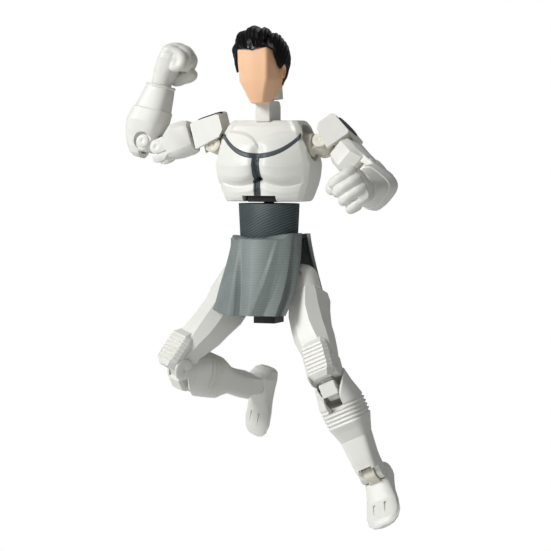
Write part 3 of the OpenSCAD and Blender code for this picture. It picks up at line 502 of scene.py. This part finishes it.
def ear_grid(side, rows=28, columns=40):
    """An oval shell standing off the head: out from the middle it is dished, then it rolls over a rim and
    returns. Its lower end is narrower."""
    turn = np.linspace(0, 2 * np.pi, columns, endpoint=False)
    v = np.linspace(0, 1, rows)[1:, None]
    out = np.interp(v, [0, 0.65, 0.85, 1], [0, 0.82, 1, 0.8])
    lift = np.interp(v, [0, 0.45, 0.65, 0.8, 0.9, 1], [0.25, 0.3, 0.75, 0.85, 0.6, -0.5])
    tall, deep = 2.0, 1.25 - 0.35 * np.sin(turn) ** 2
    z = 7.8 + tall * out * np.sin(turn)
    y = -3.7 + deep * out * np.cos(turn) * (1 + 0.25 * np.sin(turn)) + 0.28 * (z - 7.8)
    x = side * (5.85 + lift + 0.18 * np.cos(turn) * out)
    return surface(np.stack([x, y, z], -1))


skin_tone = plastic("skin", shade(255, 205, 162), 0.5, drift=0.05)
face = mesh_of("face", [surface(face_grid())], HEAD)
dress(face, "face_skin", "head", skin_tone, ["face_plate"], 0.7, 4, 4)
ears = mesh_of("ears", [ear_grid(side) for side in (-1, 1)], HEAD)
dress(ears, "ears", "head", skin_tone, [])

# ---- Hair ----
# One glossy black moulding: thick locks swept back from the forehead to the crown, parted on the left side
# of the head, with sideburns, a gap round each ear and a tail behind it.
SCALP, CROWN = np.array([0, -2.2, 11.5]), np.radians(50)
# The hair's lower edge on one side, from the peak over the forehead round the ear to the nape.
EDGE = np.array([
    [0, -10.9, 14.0], [2.6, -10.9, 14.7], [4.6, -10.2, 14.6], [5.6, -8.6, 13.6], [5.7, -8.0, 11.8],
    [6.2, -7.2, 9.5], [6.3, -6.3, 8.4], [6.4, -4.6, 9.6], [6.5, -3.1, 10.3], [6.5, -1.7, 8.5],
    [6.1, -2.6, 6.2], [5.4, -2.7, 4.3], [3.5, 1.5, 4.2], [0, 3.0, 4.2]])


def hair_grid(columns=540, rows=90):
    """Directions about the scalp's centre, in polar angles from the crown: phi goes round and each row is a
    share of the way from the lower edge to the crown. The radius swells over the forehead and low down,
    sinks at the parting, and is ribbed by arches |sin(n phi)| that bend to one side near the crown. Inner
    rows lie in the head."""
    pole = np.array([0, np.sin(CROWN), np.cos(CROWN)])
    front = np.array([0, -np.cos(CROWN), np.sin(CROWN)])
    edge = EDGE - SCALP
    reach = np.linalg.norm(edge, axis=1)
    key_phi = np.arctan2(edge[:, 0], edge @ front)
    key_theta = np.arccos(edge @ pole / reach)
    phi = np.linspace(-np.pi, np.pi, columns, endpoint=False)
    last = np.interp(np.abs(phi), key_phi, key_theta)
    rim = np.interp(np.abs(phi), key_phi, reach) + 0.25
    t = np.linspace(0, 0.985, rows)[:, None] ** 1.2
    theta = last * (1 - t)
    way = (np.cos(theta)[..., None] * pole + np.sin(theta)[..., None]
           * (np.cos(phi)[None, :, None] * front + np.sin(phi)[None, :, None] * [1, 0, 0]))
    quiff = np.exp(-(1 - way @ np.array([-0.36, -0.44, 0.82])) / 0.2)
    temple = np.exp(-(1 - way @ np.array([0.6, -0.2, 0.77])) / 0.12)
    forehead, nape = ease((-way[..., 1] - 0.6) / 0.3), ease((-way[..., 2] - 0.4) / 0.3)
    radius = 7.95 + 1.8 * quiff + 0.7 * temple + 0.7 * forehead + 0.6 * nape
    bend = phi + 0.35 * np.sin(2.2 * t + 0.4) * np.cos(phi / 2)
    top = ease((way[..., 2] + 0.3) / 0.9)
    left = ease((0.45 - phi) / 0.3)
    locks = (0.95 * np.abs(np.sin(6.5 * bend + 0.35)) * (0.25 + 0.75 * left) * top
             + 0.3 * np.abs(np.sin(19.5 * bend + 0.8 * np.sin(5 * t)))
             + 0.09 * np.abs(np.sin(58 * bend + 3 * t)))
    parting = np.exp(-(((phi - 0.37 - 0.3 * t) / 0.045) ** 2)) * ease(t / 0.1) * ease((0.8 - t) / 0.2)
    radius = radius + (locks - 0.45) * ease((1 - t) / 0.25) - 0.75 * parting
    swell = ease(t / 0.16) ** 0.6
    outer = SCALP + way * (rim + (np.maximum(radius, 7.6) - rim) * swell)[..., None]
    inner = SCALP + way * (rim - 0.7 + (6.9 - rim) * ease(t / 0.3))[..., None]
    return np.concatenate([inner[::-6], inner[:1], outer])


hair_black = plastic("hair_black", shade(5, 5, 8), 0.3, drift=0.3)
hair_black.node_tree.nodes["Principled BSDF"].inputs["Specular IOR Level"].default_value = 0.3
hair = mesh_of("hair", [surface(hair_grid())], HEAD)
dress(hair, "hair_locks", "head", hair_black, ["hair"])

# ---- Skirt ----
# Two stiff printed panels, front and back, hinged on lugs below the waist. Each is one thin wall folded
# into pleats that open towards the hem, with the fine level lines of its printing.
BODY_Y, WAIST_TOP, WAIST_TALL, SKIRT_LONG, SKIRT_WALL = -6.5, -14.7, 12.6, 21.0, 0.8
BEND_Z = WAIST_TOP - WAIST_TALL - 2.7


def pleat(u, middle, before, after):
    """A fold line at middle: 1 there and 0 from before it to after it."""
    return np.clip(np.minimum((u - middle) / before + 1, (middle - u) / after + 1), 0, 1)


def panel_grid(top, hem, folds, rise, hem_rise=0.0, columns=181, rows=64):
    """A wall round the body: at share v down, an arc of half width w and half depth d between two angles,
    pushed out or in along its normal by each fold, whose place moves with v. rise(u) lifts the top edge and
    hem_rise one end of the hem."""
    u = np.linspace(0, 1, columns)[None, :]
    v = np.linspace(0, 1, rows)[:, None]
    open_up = v ** 1.25
    wide, deep, start_at = ((1 - open_up) * a + open_up * b for a, b in zip(top[:3], hem))
    end_at = hem[3] * v + top[3] * (1 - v)
    angle = np.radians(start_at + (end_at - start_at) * u)
    push = sum(depth * pleat(u, a + (b - a) * v, before, after) for depth, a, b, before, after in folds)
    push = push * (0.15 + 0.85 * ease(v * 1.15)) * ease((u + 0.02) / 0.05) * ease((1.02 - u) / 0.05)
    out = np.stack([np.sin(angle) * deep, -np.cos(angle) * wide], -1)
    out = out / np.linalg.norm(out, axis=-1, keepdims=True)
    spot = np.stack([wide * np.sin(angle), -deep * np.cos(angle)], -1)
    z = BEND_Z + 5 - SKIRT_LONG * v + rise(u) * (1 - v) ** 1.5 + hem_rise * ease(1 - u / 0.45) * v ** 3

    def layer(offset):
        flat = spot + out * (push + offset)[..., None]
        return np.stack([flat[..., 0], flat[..., 1] + BODY_Y, z], -1)

    return np.concatenate([layer(0), layer(-SKIRT_WALL)[:, ::-1]], 1)


def lug(side, reach):
    """One hinge lug behind a panel, a plate from the hinge pin to the wall."""
    middle = side * 2.35
    return block((middle - 0.55, middle + 0.55), (BODY_Y - reach, BODY_Y - 3.2), (BEND_Z - 0.1, BEND_Z + 2.1))


def printed(name, colour, roughness, pitch, lean, depth, ridge=0.25):
    """Printed resin: level lines a pitch apart, leaning by an angle and wandering a little, darken and dent
    it."""
    made, wire, shader = start(name)
    where = wire.add("TexCoord", out=3)
    axes = [wire.add("SeparateXYZ", sockets={0: where}, out=k) for k in range(3)]
    broad = wire.add("TexNoise", sockets={"Vector": where, "Scale": 120.0, "Detail": 3.0})
    run = axes[2] * math.cos(lean) - axes[0] * math.sin(lean) + broad * (pitch * 2.2)
    line = wire.sum_of("SINE", run * (2 * math.pi / pitch))
    fine = wire.add("TexNoise", sockets={"Vector": where, "Scale": 2200.0, "Detail": 2.0})
    mask = line * ridge + broad * (0.75 - ridge * 0.8) + fine * 0.2
    feed(tinted(wire, mask, tuple(c * (1 - depth) for c in colour), colour), shader, "Base Color")
    feed(mask * 0.15 + (roughness - 0.07), shader, "Roughness")
    height = line * 0.5 + fine * 0.3
    dents = wire.add("Bump", sockets={"Strength": 0.5, "Distance": 0.0002 * ridge, "Height": height})
    feed(dents, shader, "Normal")
    return made


skirt_print = printed("skirt_print", shade(146, 156, 154), 0.5, 0.00044, lean=0, depth=0.4)
FRONT_FOLDS = [(0.4, 0.1, 0.14, 0.05, 0.03), (0.8, 0.28, 0.4, 0.12, 0.05), (-1.2, 0.33, 0.485, 0.045, 0.12),
               (1.1, 0.7, 0.64, 0.03, 0.13), (0.9, 0.85, 0.885, 0.12, 0.03), (-0.5, 0.89, 0.935, 0.03, 0.06)]
BACK_FOLDS = [(sign * 0.9, a, a + 0.02, 0.07, 0.03)
              for sign, a in ((1, 0.2), (-1, 0.3), (1, 0.45), (-1, 0.56), (1, 0.7), (-1, 0.8))]
front_panel = panel_grid((10.7, 8.7, -86, 80), (16.6, 17.0, -57, 37), FRONT_FOLDS,
                         lambda u: 1.7 * ease((u - 0.72) / 0.12) + 0.9 * np.clip(1 - u / 0.2, 0, 1)
                         - 0.8 * pleat(u, 0.25, 0.05, 0.05), 1.2)
front_wall = mesh_of("skirt_front", [surface(front_panel), lug(1, 8.4), lug(-1, 8.4)])
dress(front_wall, "skirt_front_skin", "skirt_front", skirt_print, ["skirt_front"], 0.12, 2, 50)
half_turn = seat((0, 2 * BODY_Y / 1000, 0), [[-1, 0, 0], [0, -1, 0], [0, 0, 1]])
back_panel = panel_grid((12.0, 9.8, -86, 86), (17.6, 14.2, -60, 60), BACK_FOLDS,
                        lambda u: 1.5 * ease((0.2 - u) / 0.1))
back_wall = mesh_of("skirt_back", [surface(back_panel), lug(1, 9.2), lug(-1, 9.2)], half_turn)
dress(back_wall, "skirt_back_skin", "skirt_back", skirt_print, ["skirt_back"], 0.12, 2, 50)

# ---- Waist ----
# A tapered oval drum between the chest and the pelvis, printed in dark grey with lines that climb to the
# left side.
waist_print = printed("waist_print", shade(82, 97, 99), 0.55, 0.00068, lean=0.42, depth=0.72, ridge=0.42)
moulded("waist", waist_print, 0.1)

# ---- Hips and bracket ----
# The neck post, the hip pins and the domed hip shells are plain white mouldings. The black bracket below
# the waist carries both hips and the skirt, and a black block joins the waist to the chest.
for node in ["neck"] + [part + "_" + side for side in SIDES for part in ("hip_cap", "hip_pin")]:
    moulded(node, white_plastic, 0.25, 3)
black_plastic = plastic("black_nylon", shade(24, 25, 28), 0.45)
for node in ("waist_joint", "pelvis"):
    moulded(node, black_plastic, 0.15)

# ---- Shoulders ----
# Each shoulder wears a white box with soft edges over its ivory core, and a black disc with one groove is
# let into the outer face, which leans forward.
JOINTS = {joint["name"]: joint for joint in frame["joints"]}


def limb(place, across, along, side, turn=0.0):
    """A limb's seat: its origin, x along the first direction and z along the second, y to the back. The
    right side mirrors the left. turn swings it about its own z."""
    z = along / np.linalg.norm(along)
    x = across - (across @ z) * z
    x = x / np.linalg.norm(x)
    y = np.cross(z, x) * (1 if side == "left" else -1)
    c, s = math.cos(math.radians(turn)), math.sin(math.radians(turn))
    return seat(place, [c * x + s * y, c * y - s * x, z])


def spot(name, side):
    """A joint's place and its axis, with the axis of the left side reversed."""
    joint = JOINTS[name + "_" + side]
    return np.array(joint["pos_m"]), np.array(joint["axis"]) * (-1 if side == "left" else 1)


def lathe(profile, sides=64):
    """A closed turning about z: radius and height along the profile, swept round by an angle."""
    turn = np.linspace(0, 2 * np.pi, sides, endpoint=False)
    r, z = np.array(profile, float).T[..., None]
    return surface(np.stack([r * np.cos(turn), r * np.sin(turn), z + 0 * turn], -1))


def placed(part, origin, turn):
    """A part moved inside its own frame: the rows of turn are the directions of its x, y and z."""
    return np.array(origin) + part[0] @ np.array(turn, float), part[1]


PAD_X, DISC_R, LEAN, CORE_X, HOLLOW_X = 8.8, 3.75, 0.3, 7.25, 7.35
DISC = [(0.3, 0.3), (2.0, 0.3), (2.05, 0.08), (2.4, 0.08), (2.45, 0.3), (3.5, 0.2), (3.7, 0.0),
        (3.7, -0.6), (0.3, -0.6)]
for side in SIDES:
    shoulder = spot("shoulder_raise", side)[0]
    twist = spot("arm_twist", side)[0]
    at = limb(shoulder, twist - shoulder, twist - spot("elbow_upper", side)[0], side)
    ring = np.array([[-0.3, -4.7], [PAD_X - 0.6, -4.7], [PAD_X, -4.1], [PAD_X, 3.6], [PAD_X - 0.6, 4.4],
                     [2.6, 4.4], [0.9, 2.9]])
    slab = np.stack([np.stack([ring[:, 0] + (ring[:, 0] > 6) * LEAN * y, y + 0 * ring[:, 0], ring[:, 1]], -1)
                     for y in (-4.3, 3.8)])
    lean = math.atan(LEAN)
    face_turn = [[math.sin(lean), math.cos(lean), 0], [0, 0, 1], [math.cos(lean), -math.sin(lean), 0]]
    face_spot = (PAD_X, 0, 0.4)
    cap = mesh_of("cap", [surface(slab)], at)
    cap = carved(cap, [block((-3, HOLLOW_X), (-3.3, 3.3), (-7, 3.65))], "DIFFERENCE", at)
    core = "shoulder_core_" + side
    trimmed = carved(merged(core), [block((CORE_X, 14), (-9, 9), (-9, 9))], "DIFFERENCE", at)
    dress(trimmed, core + "_skin", frame["nodes"][core]["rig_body"], ivory, [core], 0.12)
    pocket = placed(lathe([(DISC_R + 0.1, -0.65), (DISC_R + 0.1, 3)]), face_spot, face_turn)
    cap = carved(cap, [pocket], "DIFFERENCE", at)
    body = "shoulder_" + side
    dress(cap, "shoulder_cap_skin_" + side, body, white_plastic, ["shoulder_cap_" + side], 0.9, 5)
    disc = mesh_of("disc", [placed(lathe(DISC), face_spot, face_turn)], at)
    dress(disc, "shoulder_disc_skin_" + side, body, black_plastic, ["shoulder_disc_" + side])

# ---- Arms ----
# Upper arms with broad chamfers and forearms that swell from a lipped wrist past a step to a round elbow,
# in white plastic over an ivory link. White pin heads sit in ringed pockets on each elbow.


def soft_grid(levels, rows=120, columns=96, rim=None, below=0.0):
    """A closed form along z. A level is z, centre x and y, half width, half depth and squareness p: its
    outline is the curve |x/w|^p + |y/d|^p = 1, and all six are interpolated between levels. Above a height,
    the form can be squeezed so that its top edge follows rim(c, s), a function of the direction's cosine
    and sine."""
    table = np.array(levels, float)
    z = np.sort(np.concatenate([np.linspace(table[0, 0], table[-1, 0], rows), table[:, 0]]))[:, None]
    turn = np.linspace(0, 2 * np.pi, columns, endpoint=False)
    c, s = np.cos(turn), np.sin(turn)
    if rim:
        z = z + np.maximum(z - below, 0) * ((rim(c, s) - below) / (table[-1, 0] - below) - 1)
    cx, cy, w, d, p = (np.interp(z, table[:, 0], table[:, k]) for k in range(1, 6))
    x = cx + w * np.sign(c) * np.abs(c) ** (2 / p)
    y = cy + d * np.sign(s) * np.abs(s) ** (2 / p)
    return np.stack([x, y, z + 0 * x], -1)


def head_pin(z, inner, outer, radius=1.9, dome=0.3):
    """A pin along x at a height, with a domed head on both ends that has a dimple in its middle."""
    head = [(0.3, inner), (radius, inner), (radius, outer - dome), (radius * 0.9, outer - dome * 0.45),
            (radius * 0.6, outer - dome * 0.12), (0.5, outer), (0.35, outer - 0.15), (0.1, outer - 0.18)]
    heads = [placed(lathe(head), (0, 0, z), [[0, 1, 0], [0, 0, 1], [end, 0, 0]]) for end in (-1, 1)]
    return [rod(PIN_R, (-outer + 0.3, outer - 0.3), 0, z)] + heads


FOREARM = [(-16.5, 0, 0, 3.9, 3.95, 2.4), (-15.0, 0, 0.1, 4.15, 4.2, 2.6), (-9.6, 0, 0.7, 4.85, 4.85, 3.4),
           (-9.35, 0, 0.8, 5.25, 5.3, 3.4), (-5.6, 0, 1.4, 5.7, 5.6, 3.4), (-2.4, 0, 1.6, 5.4, 5.4, 3.0),
           (-0.2, 0, 1.5, 4.9, 5.0, 2.6), (2.0, 0, 1.4, 4.5, 4.2, 2.4), (3.8, 0, 1.3, 3.6, 3.2, 2.2),
           (4.9, 0, 1.2, 2.0, 1.9, 2.0)]
LIP = [(3.2, -16.9), (4.15, -16.85), (4.42, -16.5), (4.3, -16.1), (3.8, -15.7), (3.0, -15.6)]
PIN_R, GAP_X, ELBOW_SPAN = 0.9, 1.95, 4.4
for side in SIDES:
    twist, elbow = spot("arm_twist", side)[0], spot("elbow_upper", side)
    lower, wrist = spot("elbow_lower", side), spot("wrist_turn", side)[0]
    node = "upper_arm_" + side
    sleeve = merged(node)
    at = limb(elbow[0], elbow[1], twist - elbow[0], side)
    points = np.array([v.co for v in sleeve.vertices])
    inside = (points - at[0]) @ at[1].T * 1000
    # The ears are pressed together below z 3; above z 1 the sleeve is narrowed and shifted aside, then
    # lowered.
    spare = np.maximum(np.abs(inside[:, 0]) - 2.2, 0) * ease((3 - inside[:, 2]) / 2)
    inside[:, 0] -= 0.42 * spare * np.sign(inside[:, 0])
    inside[:, 0] -= ease((inside[:, 2] - 1) / 3) * (0.15 * inside[:, 0] + 0.95)
    inside[:, 2] -= 1.3 * ease((inside[:, 2] - 8) / 4)
    sleeve.vertices.foreach_set("co", (at[0] + inside @ at[1] * 0.001).ravel())
    dress(sleeve, node + "_skin", frame["nodes"][node]["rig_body"], white_plastic, [node], 0.28, 2)
    at = limb(lower[0], lower[1], lower[0] - wrist, side)
    arm = mesh_of("forearm", [surface(soft_grid(FOREARM))], at)
    arm = carved(arm, [lathe(LIP)], "UNION", at)
    arm = carved(arm, [block((-GAP_X, GAP_X), (-8, 2.1), (-2.5, 3.6))], "DIFFERENCE", at)
    arm = carved(arm, [block((-8, 8), (-9, 0.6), (3.0, 8))], "DIFFERENCE", at)
    for pocket in ((-9, -3.9), (3.9, 9)):
        arm = carved(arm, [rod(2.6, pocket)], "DIFFERENCE", at)
    node = "forearm_" + side
    dress(arm, "forearm_skin_" + side, node, white_plastic, [node], 0.25, 3)
    at = limb(elbow[0], elbow[1], elbow[0] - lower[0], side)
    pins = mesh_of("elbow_pins", head_pin(0, 2.9, 3.8) + head_pin(-ELBOW_SPAN, 3.7, 4.5), at)
    dress(pins, "elbow_pins_skin_" + side, "elbow_" + side, white_plastic, ["elbow_pins_" + side])

# ---- Fists ----
# Closed fists in white plastic: a tapered wrist, a palm, four curled fingers and a thumb that lies below
# them and passes beyond. A voxel remesh fuses them into one closed moulding. The left fist leans back at
# its wrist.


def tube(path, radius, rows=72, columns=32):
    """A rounded tube along a path. The path's corners are smoothed by a moving average; its section is a
    circle whose radius follows radius and closes as a half sphere at each end."""
    path = np.array(path, float)
    length = np.concatenate([[0], np.cumsum(np.linalg.norm(np.diff(path, axis=0), axis=1))])
    s = np.linspace(0, length[-1], rows)
    line = np.stack([np.interp(s, length, path[:, k]) for k in range(3)], -1)
    window = np.hanning(15)[1:-1]
    padded = np.pad(line, ((6, 6), (0, 0)), mode="edge")
    line = np.stack([np.convolve(padded[:, k], window / window.sum(), "valid") for k in range(3)], -1)
    heading = np.gradient(line, axis=0)
    heading /= np.linalg.norm(heading, axis=1, keepdims=True)
    first = np.cross(heading, [1.0, 0.13, 0])
    first /= np.linalg.norm(first, axis=1, keepdims=True)
    second = np.cross(heading, first)
    size = np.interp(np.linspace(0, 1, rows), np.linspace(0, 1, len(radius)), radius)
    near = np.minimum(s, length[-1] - s) / size
    size = size * np.sqrt(np.clip(1 - (1 - np.clip(near, 0.02, 1)) ** 2, 0, 1))
    turn = np.linspace(0, 2 * np.pi, columns, endpoint=False)[None, :, None]
    around = first[:, None] * np.cos(turn) + second[:, None] * np.sin(turn)
    return surface(line[:, None] + around * size[:, None, None])


PALM = [(-12.2, 0, -1.6, 4.6, 1.6, 3), (-11.2, 0, -1.3, 5.2, 2.6, 3), (-8.0, 0, -1.0, 5.1, 3.2, 3),
        (-4.6, 0, -0.5, 4.2, 3.2, 2.6), (-2.0, 0, -0.1, 3.2, 3.0, 2.2), (-0.4, 0, 0, 2.95, 2.95, 2)]
FILL = [(-11.2, 0, -3.2, 4.4, 2.0, 3), (-9.0, 0, -3.6, 4.9, 2.8, 3), (-6.7, 0, -3.4, 4.6, 2.0, 3)]
CURL = np.array([[0.6, -10.8], [-2.2, -11.9], [-5.0, -11.4], [-6.6, -9.8], [-6.6, -7.8], [-5.0, -6.5],
                 [-2.8, -6.7]])
THUMB = [(3.4, -0.6, -2.8), (4.2, -3.6, -3.3), (3.8, -6.4, -4.6), (3.2, -8.4, -6.6)]
# Each fist's turn about its wrist in degrees, its lean aside and to the back, and how far back it sits in
# metres.
FISTS = (("left", -70, 0.17, 0.4, 0.0005), ("right", 5, 0, 0, 0))
FINGER, FINGER_PITCH, VOXEL = [1.3, 1.46, 1.34, 1.38, 1.46, 1.34, 1.3, 1.25], 2.72, 0.00016
for side, wrist_turn, aside, lift, set_back in FISTS:
    lower, wrist = spot("elbow_lower", side), spot("wrist_turn", side)[0]
    at = limb(wrist, lower[1], lower[0] - wrist, side, wrist_turn)
    at = limb(wrist + [0, set_back, 0], at[1][0], at[1][2] - aside * at[1][0] - lift * at[1][1], side)
    parts = [surface(soft_grid(PALM)), surface(soft_grid(FILL)), tube(THUMB, [1.9, 2.2, 1.8, 1.9, 1.7])]
    for k, (reach, rise) in enumerate(((0.9, 0.5), (1.0, 0.15), (1.03, 0.0), (0.98, 0.25))):
        bend = CURL * reach + [0, -rise * 0.3]
        parts.append(tube(np.column_stack([np.full(len(bend), (k - 1.5) * FINGER_PITCH), bend]), FINGER))
    node = "hand_" + side
    fist = dress(mesh_of("fist", parts, at), "fist_" + side, node, white_plastic, [node])
    moulding = fist.modifiers.new("moulding", "REMESH")
    moulding.mode = "VOXEL"
    moulding.voxel_size = VOXEL
    moulding.use_smooth_shade = True
    softening = fist.modifiers.new("softening", "SMOOTH")
    softening.factor = 0.5
    softening.iterations = 3

# ---- Legs ----
# Faceted white thighs, each with a ribbed cap over the knee, and shins that open in a bowl round a white
# knee link. The bowl has five shallow ribs below it and a slot in front. A domed head stands on the inner
# side of each knee.


def octagon_grid(levels):
    """A closed form along z from eight-sided outlines: z, centre x and y, half width, half depth and corner
    cut."""
    table = np.array(levels, float)
    sign = np.array([[1, 1, 0, 1], [1, 1, 1, 0], [-1, 1, 1, 0], [-1, 1, 0, 1], [-1, -1, 0, 1], [-1, -1, 1, 0],
                     [1, -1, 1, 0], [1, -1, 0, 1]])
    z, cx, cy, w, d, cut = (table[:, k, None] for k in range(6))
    x = cx + sign[:, 0] * (w - cut * sign[:, 2])
    y = cy + sign[:, 1] * (d - cut * sign[:, 3])
    return np.stack([x, y, z + 0 * x], -1)


def knee_cap_grid(rows=241):
    """A wedge whose front follows a profile of z and carries seven V grooves; each row is its outline
    there."""
    z = np.linspace(-32.6, -20.6, rows)[:, None]
    front = np.interp(z, [-32.6, -31.2, -22.8, -20.6], [-5.2, -6.25, -6.25, -4.4])
    saw = np.clip((z + 31.2) / 1.16, 0, 6.99) % 1.0
    groove = 0.42 * np.clip(1 - np.abs(saw - 0.5) / 0.22, 0, 1) * (np.abs(z + 27.1) < 4.0)
    half = np.interp(z, [-32.6, -30.6, -24.0, -20.6], [2.6, 4.1, 4.1, 3.2])
    x = np.array([-1, -1, -0.76, 0.76, 1, 1]) * half
    y = np.hstack([0 * z - 3.4, front + 1.5, front + groove, front + groove, front + 1.5, 0 * z - 3.4])
    return np.stack([x, y, z + 0 * x], -1)


THIGH = [
    (-26.6, 0, -0.5, 4.0, 2.9, 1.1), (-23.2, -0.5, -0.4, 4.6, 4.2, 1.9), (-18.5, -1.2, 0.3, 5.1, 5.3, 2.6),
    (-15.0, -1.5, 0.8, 5.0, 5.7, 2.8), (-10.0, -1.5, 1.8, 4.9, 6.5, 2.8), (-6.5, -0.7, 2.2, 4.5, 6.8, 2.4),
    (-4.2, -0.2, 1.7, 4.1, 6.0, 1.9)]
SHIN = [(-23.6, 0, 0, 3.4, 3.9, 4.5), (-20.0, 0, 0.2, 3.65, 3.8, 4.5), (-14.4, 0, 1.1, 4.2, 3.8, 4.5),
        (-11.5, 0, 1.5, 5.0, 5.2, 4.2), (-9.7, 0, 1.6, 5.6, 6.1, 4), (-8.4, 0, 1.7, 5.85, 6.3, 3.6),
        (-4.8, 0, 1.6, 6.1, 6.3, 3.2), (-2.4, 0, 1.4, 5.7, 6.1, 2.8), (0.5, 0, 1.2, 5.1, 5.6, 2.6),
        (4.5, 0, 1.0, 4.7, 4.9, 2.4)]


BOWL = [(-4.8, 0, 1, 1.5, 2, 2), (-4.2, 0, 1, 3.6, 4, 2), (-2.6, 0, 1.1, 4.6, 4.9, 2.4),
        (0, 0, 1.1, 4.45, 4.9, 2.4), (4.5, 0, 1.0, 4.1, 4.2, 2.4), (9, 0, 1.0, 4.1, 4.2, 2.4)]
DOME = [(0.3, 0), (3.2, 0), (3.2, 0.25), (3.0, 0.45), (2.2, 0.62), (0.5, 0.7), (0.35, 0.55), (0.1, 0.52)]
KNEE_SPAN, ANKLE_Y, ANKLE_Z, RIB_LOW, RIB_PITCH = 5.6, 0.5, -25.5, -9.6, 1.12
# The ankle lies a little behind the shin's own line, so the shin and the foot are tipped by this angle.
TIP = math.atan2(ANKLE_Y, -ANKLE_Z)


def tipped(at, place, angle):
    """A seat at a place, whose y and z are those of another seat turned about its x by an angle."""
    x, y, z = at[1]
    c, s = math.cos(angle), math.sin(angle)
    return seat(place, [x, y * c + z * s, z * c - y * s])


def shin_rim(c, s):
    """Height of the bowl's edge: low in front, level at the sides and highest at the back."""
    return 1.8 + 0.2 * c + 2.6 * s + 1.4 * c ** 2 - 2.2 * np.maximum(-s, 0) ** 6


for side in SIDES:
    upper, lower, ankle = (spot(name, side) for name in ("knee_upper", "knee_lower", "ankle"))
    at = limb(spot("hip_spread", side)[0], -upper[1], -spot("thigh_twist", side)[1], side)
    thigh = mesh_of("thigh", [surface(octagon_grid(THIGH))], at)
    for part in (rod(2.65, (-4, 4), -0.5, -29.5), block((-4, 4), (-3.15, 2.15), (-29.5, -26))):
        thigh = carved(thigh, [part], "UNION", at)
    thigh = carved(thigh, [block((-GAP_X, GAP_X), (-9, 8), (-34, -26.55))], "DIFFERENCE", at)
    dress(thigh, "thigh_skin_" + side, "thigh_" + side, white_plastic, ["thigh_" + side], 1.0, 5, 18)
    cap = mesh_of("knee_cap", [surface(knee_cap_grid())], at)
    dress(cap, "knee_cap_skin_" + side, "thigh_" + side, white_plastic, ["knee_cap_" + side], 0.12)

    at = limb(upper[0], -upper[1], upper[0] - lower[0], side)
    inner_head = placed(lathe(DOME), (-3.9, -1.3, 0), [[0, 1, 0], [0, 0, 1], [-1, 0, 0]])
    rods = [rod(PIN_R, (-4.4, 4.15), 0, 0), rod(PIN_R, (-4.4, 4.4), 0, -KNEE_SPAN)]
    pins = mesh_of("knee_pins", rods + [inner_head], at)
    plate = mesh_of("knee_plate", [block((-2.4, 2.4), (-3.7, -2.0), (-7.0, -3.1))], at)
    dress(plate, "knee_plate_" + side, "knee_" + side, white_plastic, [], 0.25, 3)
    moulded("knee_link_" + side, white_plastic, 0.12)
    dress(pins, "knee_pins_skin_" + side, "knee_" + side, white_plastic, ["knee_pins_" + side])

    at = tipped(limb(lower[0], -lower[1], lower[0] - ankle[0], side), lower[0], TIP)
    form = soft_grid(SHIN, 220, 96, shin_rim, -3.9)
    ribs = np.clip((form[:, :1, 2] - RIB_LOW) / RIB_PITCH, 0, 4.99) % 1.0
    dent = 0.2 * (1 - np.cos(2 * np.pi * ribs)) * (np.abs(form[:, :1, 2] + 6.8) < 2.78)
    form[..., :2] *= (1 - dent / 5.5)[..., None]
    shin = mesh_of("shin", [surface(form)], at)
    for part in (surface(soft_grid(BOWL, 40, 48)), block((-2.5, 2.5), (-9, -1.6), (-5.4, 6))):
        shin = carved(shin, [part], "DIFFERENCE", at)
    for part in (rod(2.2, (-3.4, 3.4), ANKLE_Y, ANKLE_Z), block((-3.4, 3.4), (-1.7, 2.7), (ANKLE_Z, -22.3))):
        shin = carved(shin, [part], "UNION", at)
    shin = carved(shin, [block((-GAP_X, GAP_X), (-8, 8), (-30, -23.0))], "DIFFERENCE", at)
    dress(shin, "shin_skin_" + side, "shin_" + side, white_plastic, ["shin_" + side], 0.22, 3)

# ---- Feet ----
# Low shoes in white plastic: a heel shell, an instep with two small notches and a sole that stands out all
# round. A row of SHOE is a place from heel to toe, the height of its middle, half width, half height and
# squareness.
SHOE = [(-6.5, -4.9, 2.4, 1.7, 2.6), (-5.7, -4.6, 3.4, 2.7, 2.8), (-3.5, -3.9, 3.9, 3.7, 3.0),
        (-1.0, -4.2, 3.85, 3.4, 3.0), (2.6, -5.1, 4.0, 2.5, 2.8), (6.5, -5.9, 4.7, 1.7, 2.6),
        (10.0, -6.2, 5.0, 1.4, 2.5), (12.6, -6.4, 4.3, 1.15, 2.4), (13.9, -6.6, 3.0, 0.8, 2.2),
        (14.4, -6.7, 1.6, 0.5, 2)]
for side, point in (("left", 35), ("right", 1)):
    lower, ankle = spot("knee_lower", side), spot("ankle", side)
    along_shin = limb(lower[0], -lower[1], lower[0] - ankle[0], side)
    at = tipped(along_shin, ankle[0], math.radians(point) + TIP)
    form = soft_grid([(a, 0, b, w, d, p) for a, b, w, d, p in SHOE], 120, 96)
    rim = ease((-form[..., 1] - 6.1) / 0.25) * ease((form[..., 1] + 7.75) / 0.3)
    form[..., 0] += np.sign(form[..., 0]) * 0.28 * rim * ease((np.abs(form[..., 0]) - 0.8) / 1.2)
    form = np.stack([form[..., 0], -form[..., 2], form[..., 1]], -1)
    foot = mesh_of("foot", [surface(form)], at)
    foot = carved(foot, [rod(2.5, (-6, 6))], "DIFFERENCE", at)
    foot = carved(foot, [block((-1.75, 1.75), (-1.8, 1.8), (-5.7, 1))], "DIFFERENCE", at)
    for x in (-1.9, 1.6):
        foot = carved(foot, [block((x - 0.4, x + 0.4), (-10.8, -7.4), (-5.05, 0))], "DIFFERENCE", at)
    dress(foot, "foot_skin_" + side, "foot_" + side, white_plastic, ["foot_" + side], 0.2, 3)
    moulded("ankle_pin_" + side, white_plastic, 0.1)
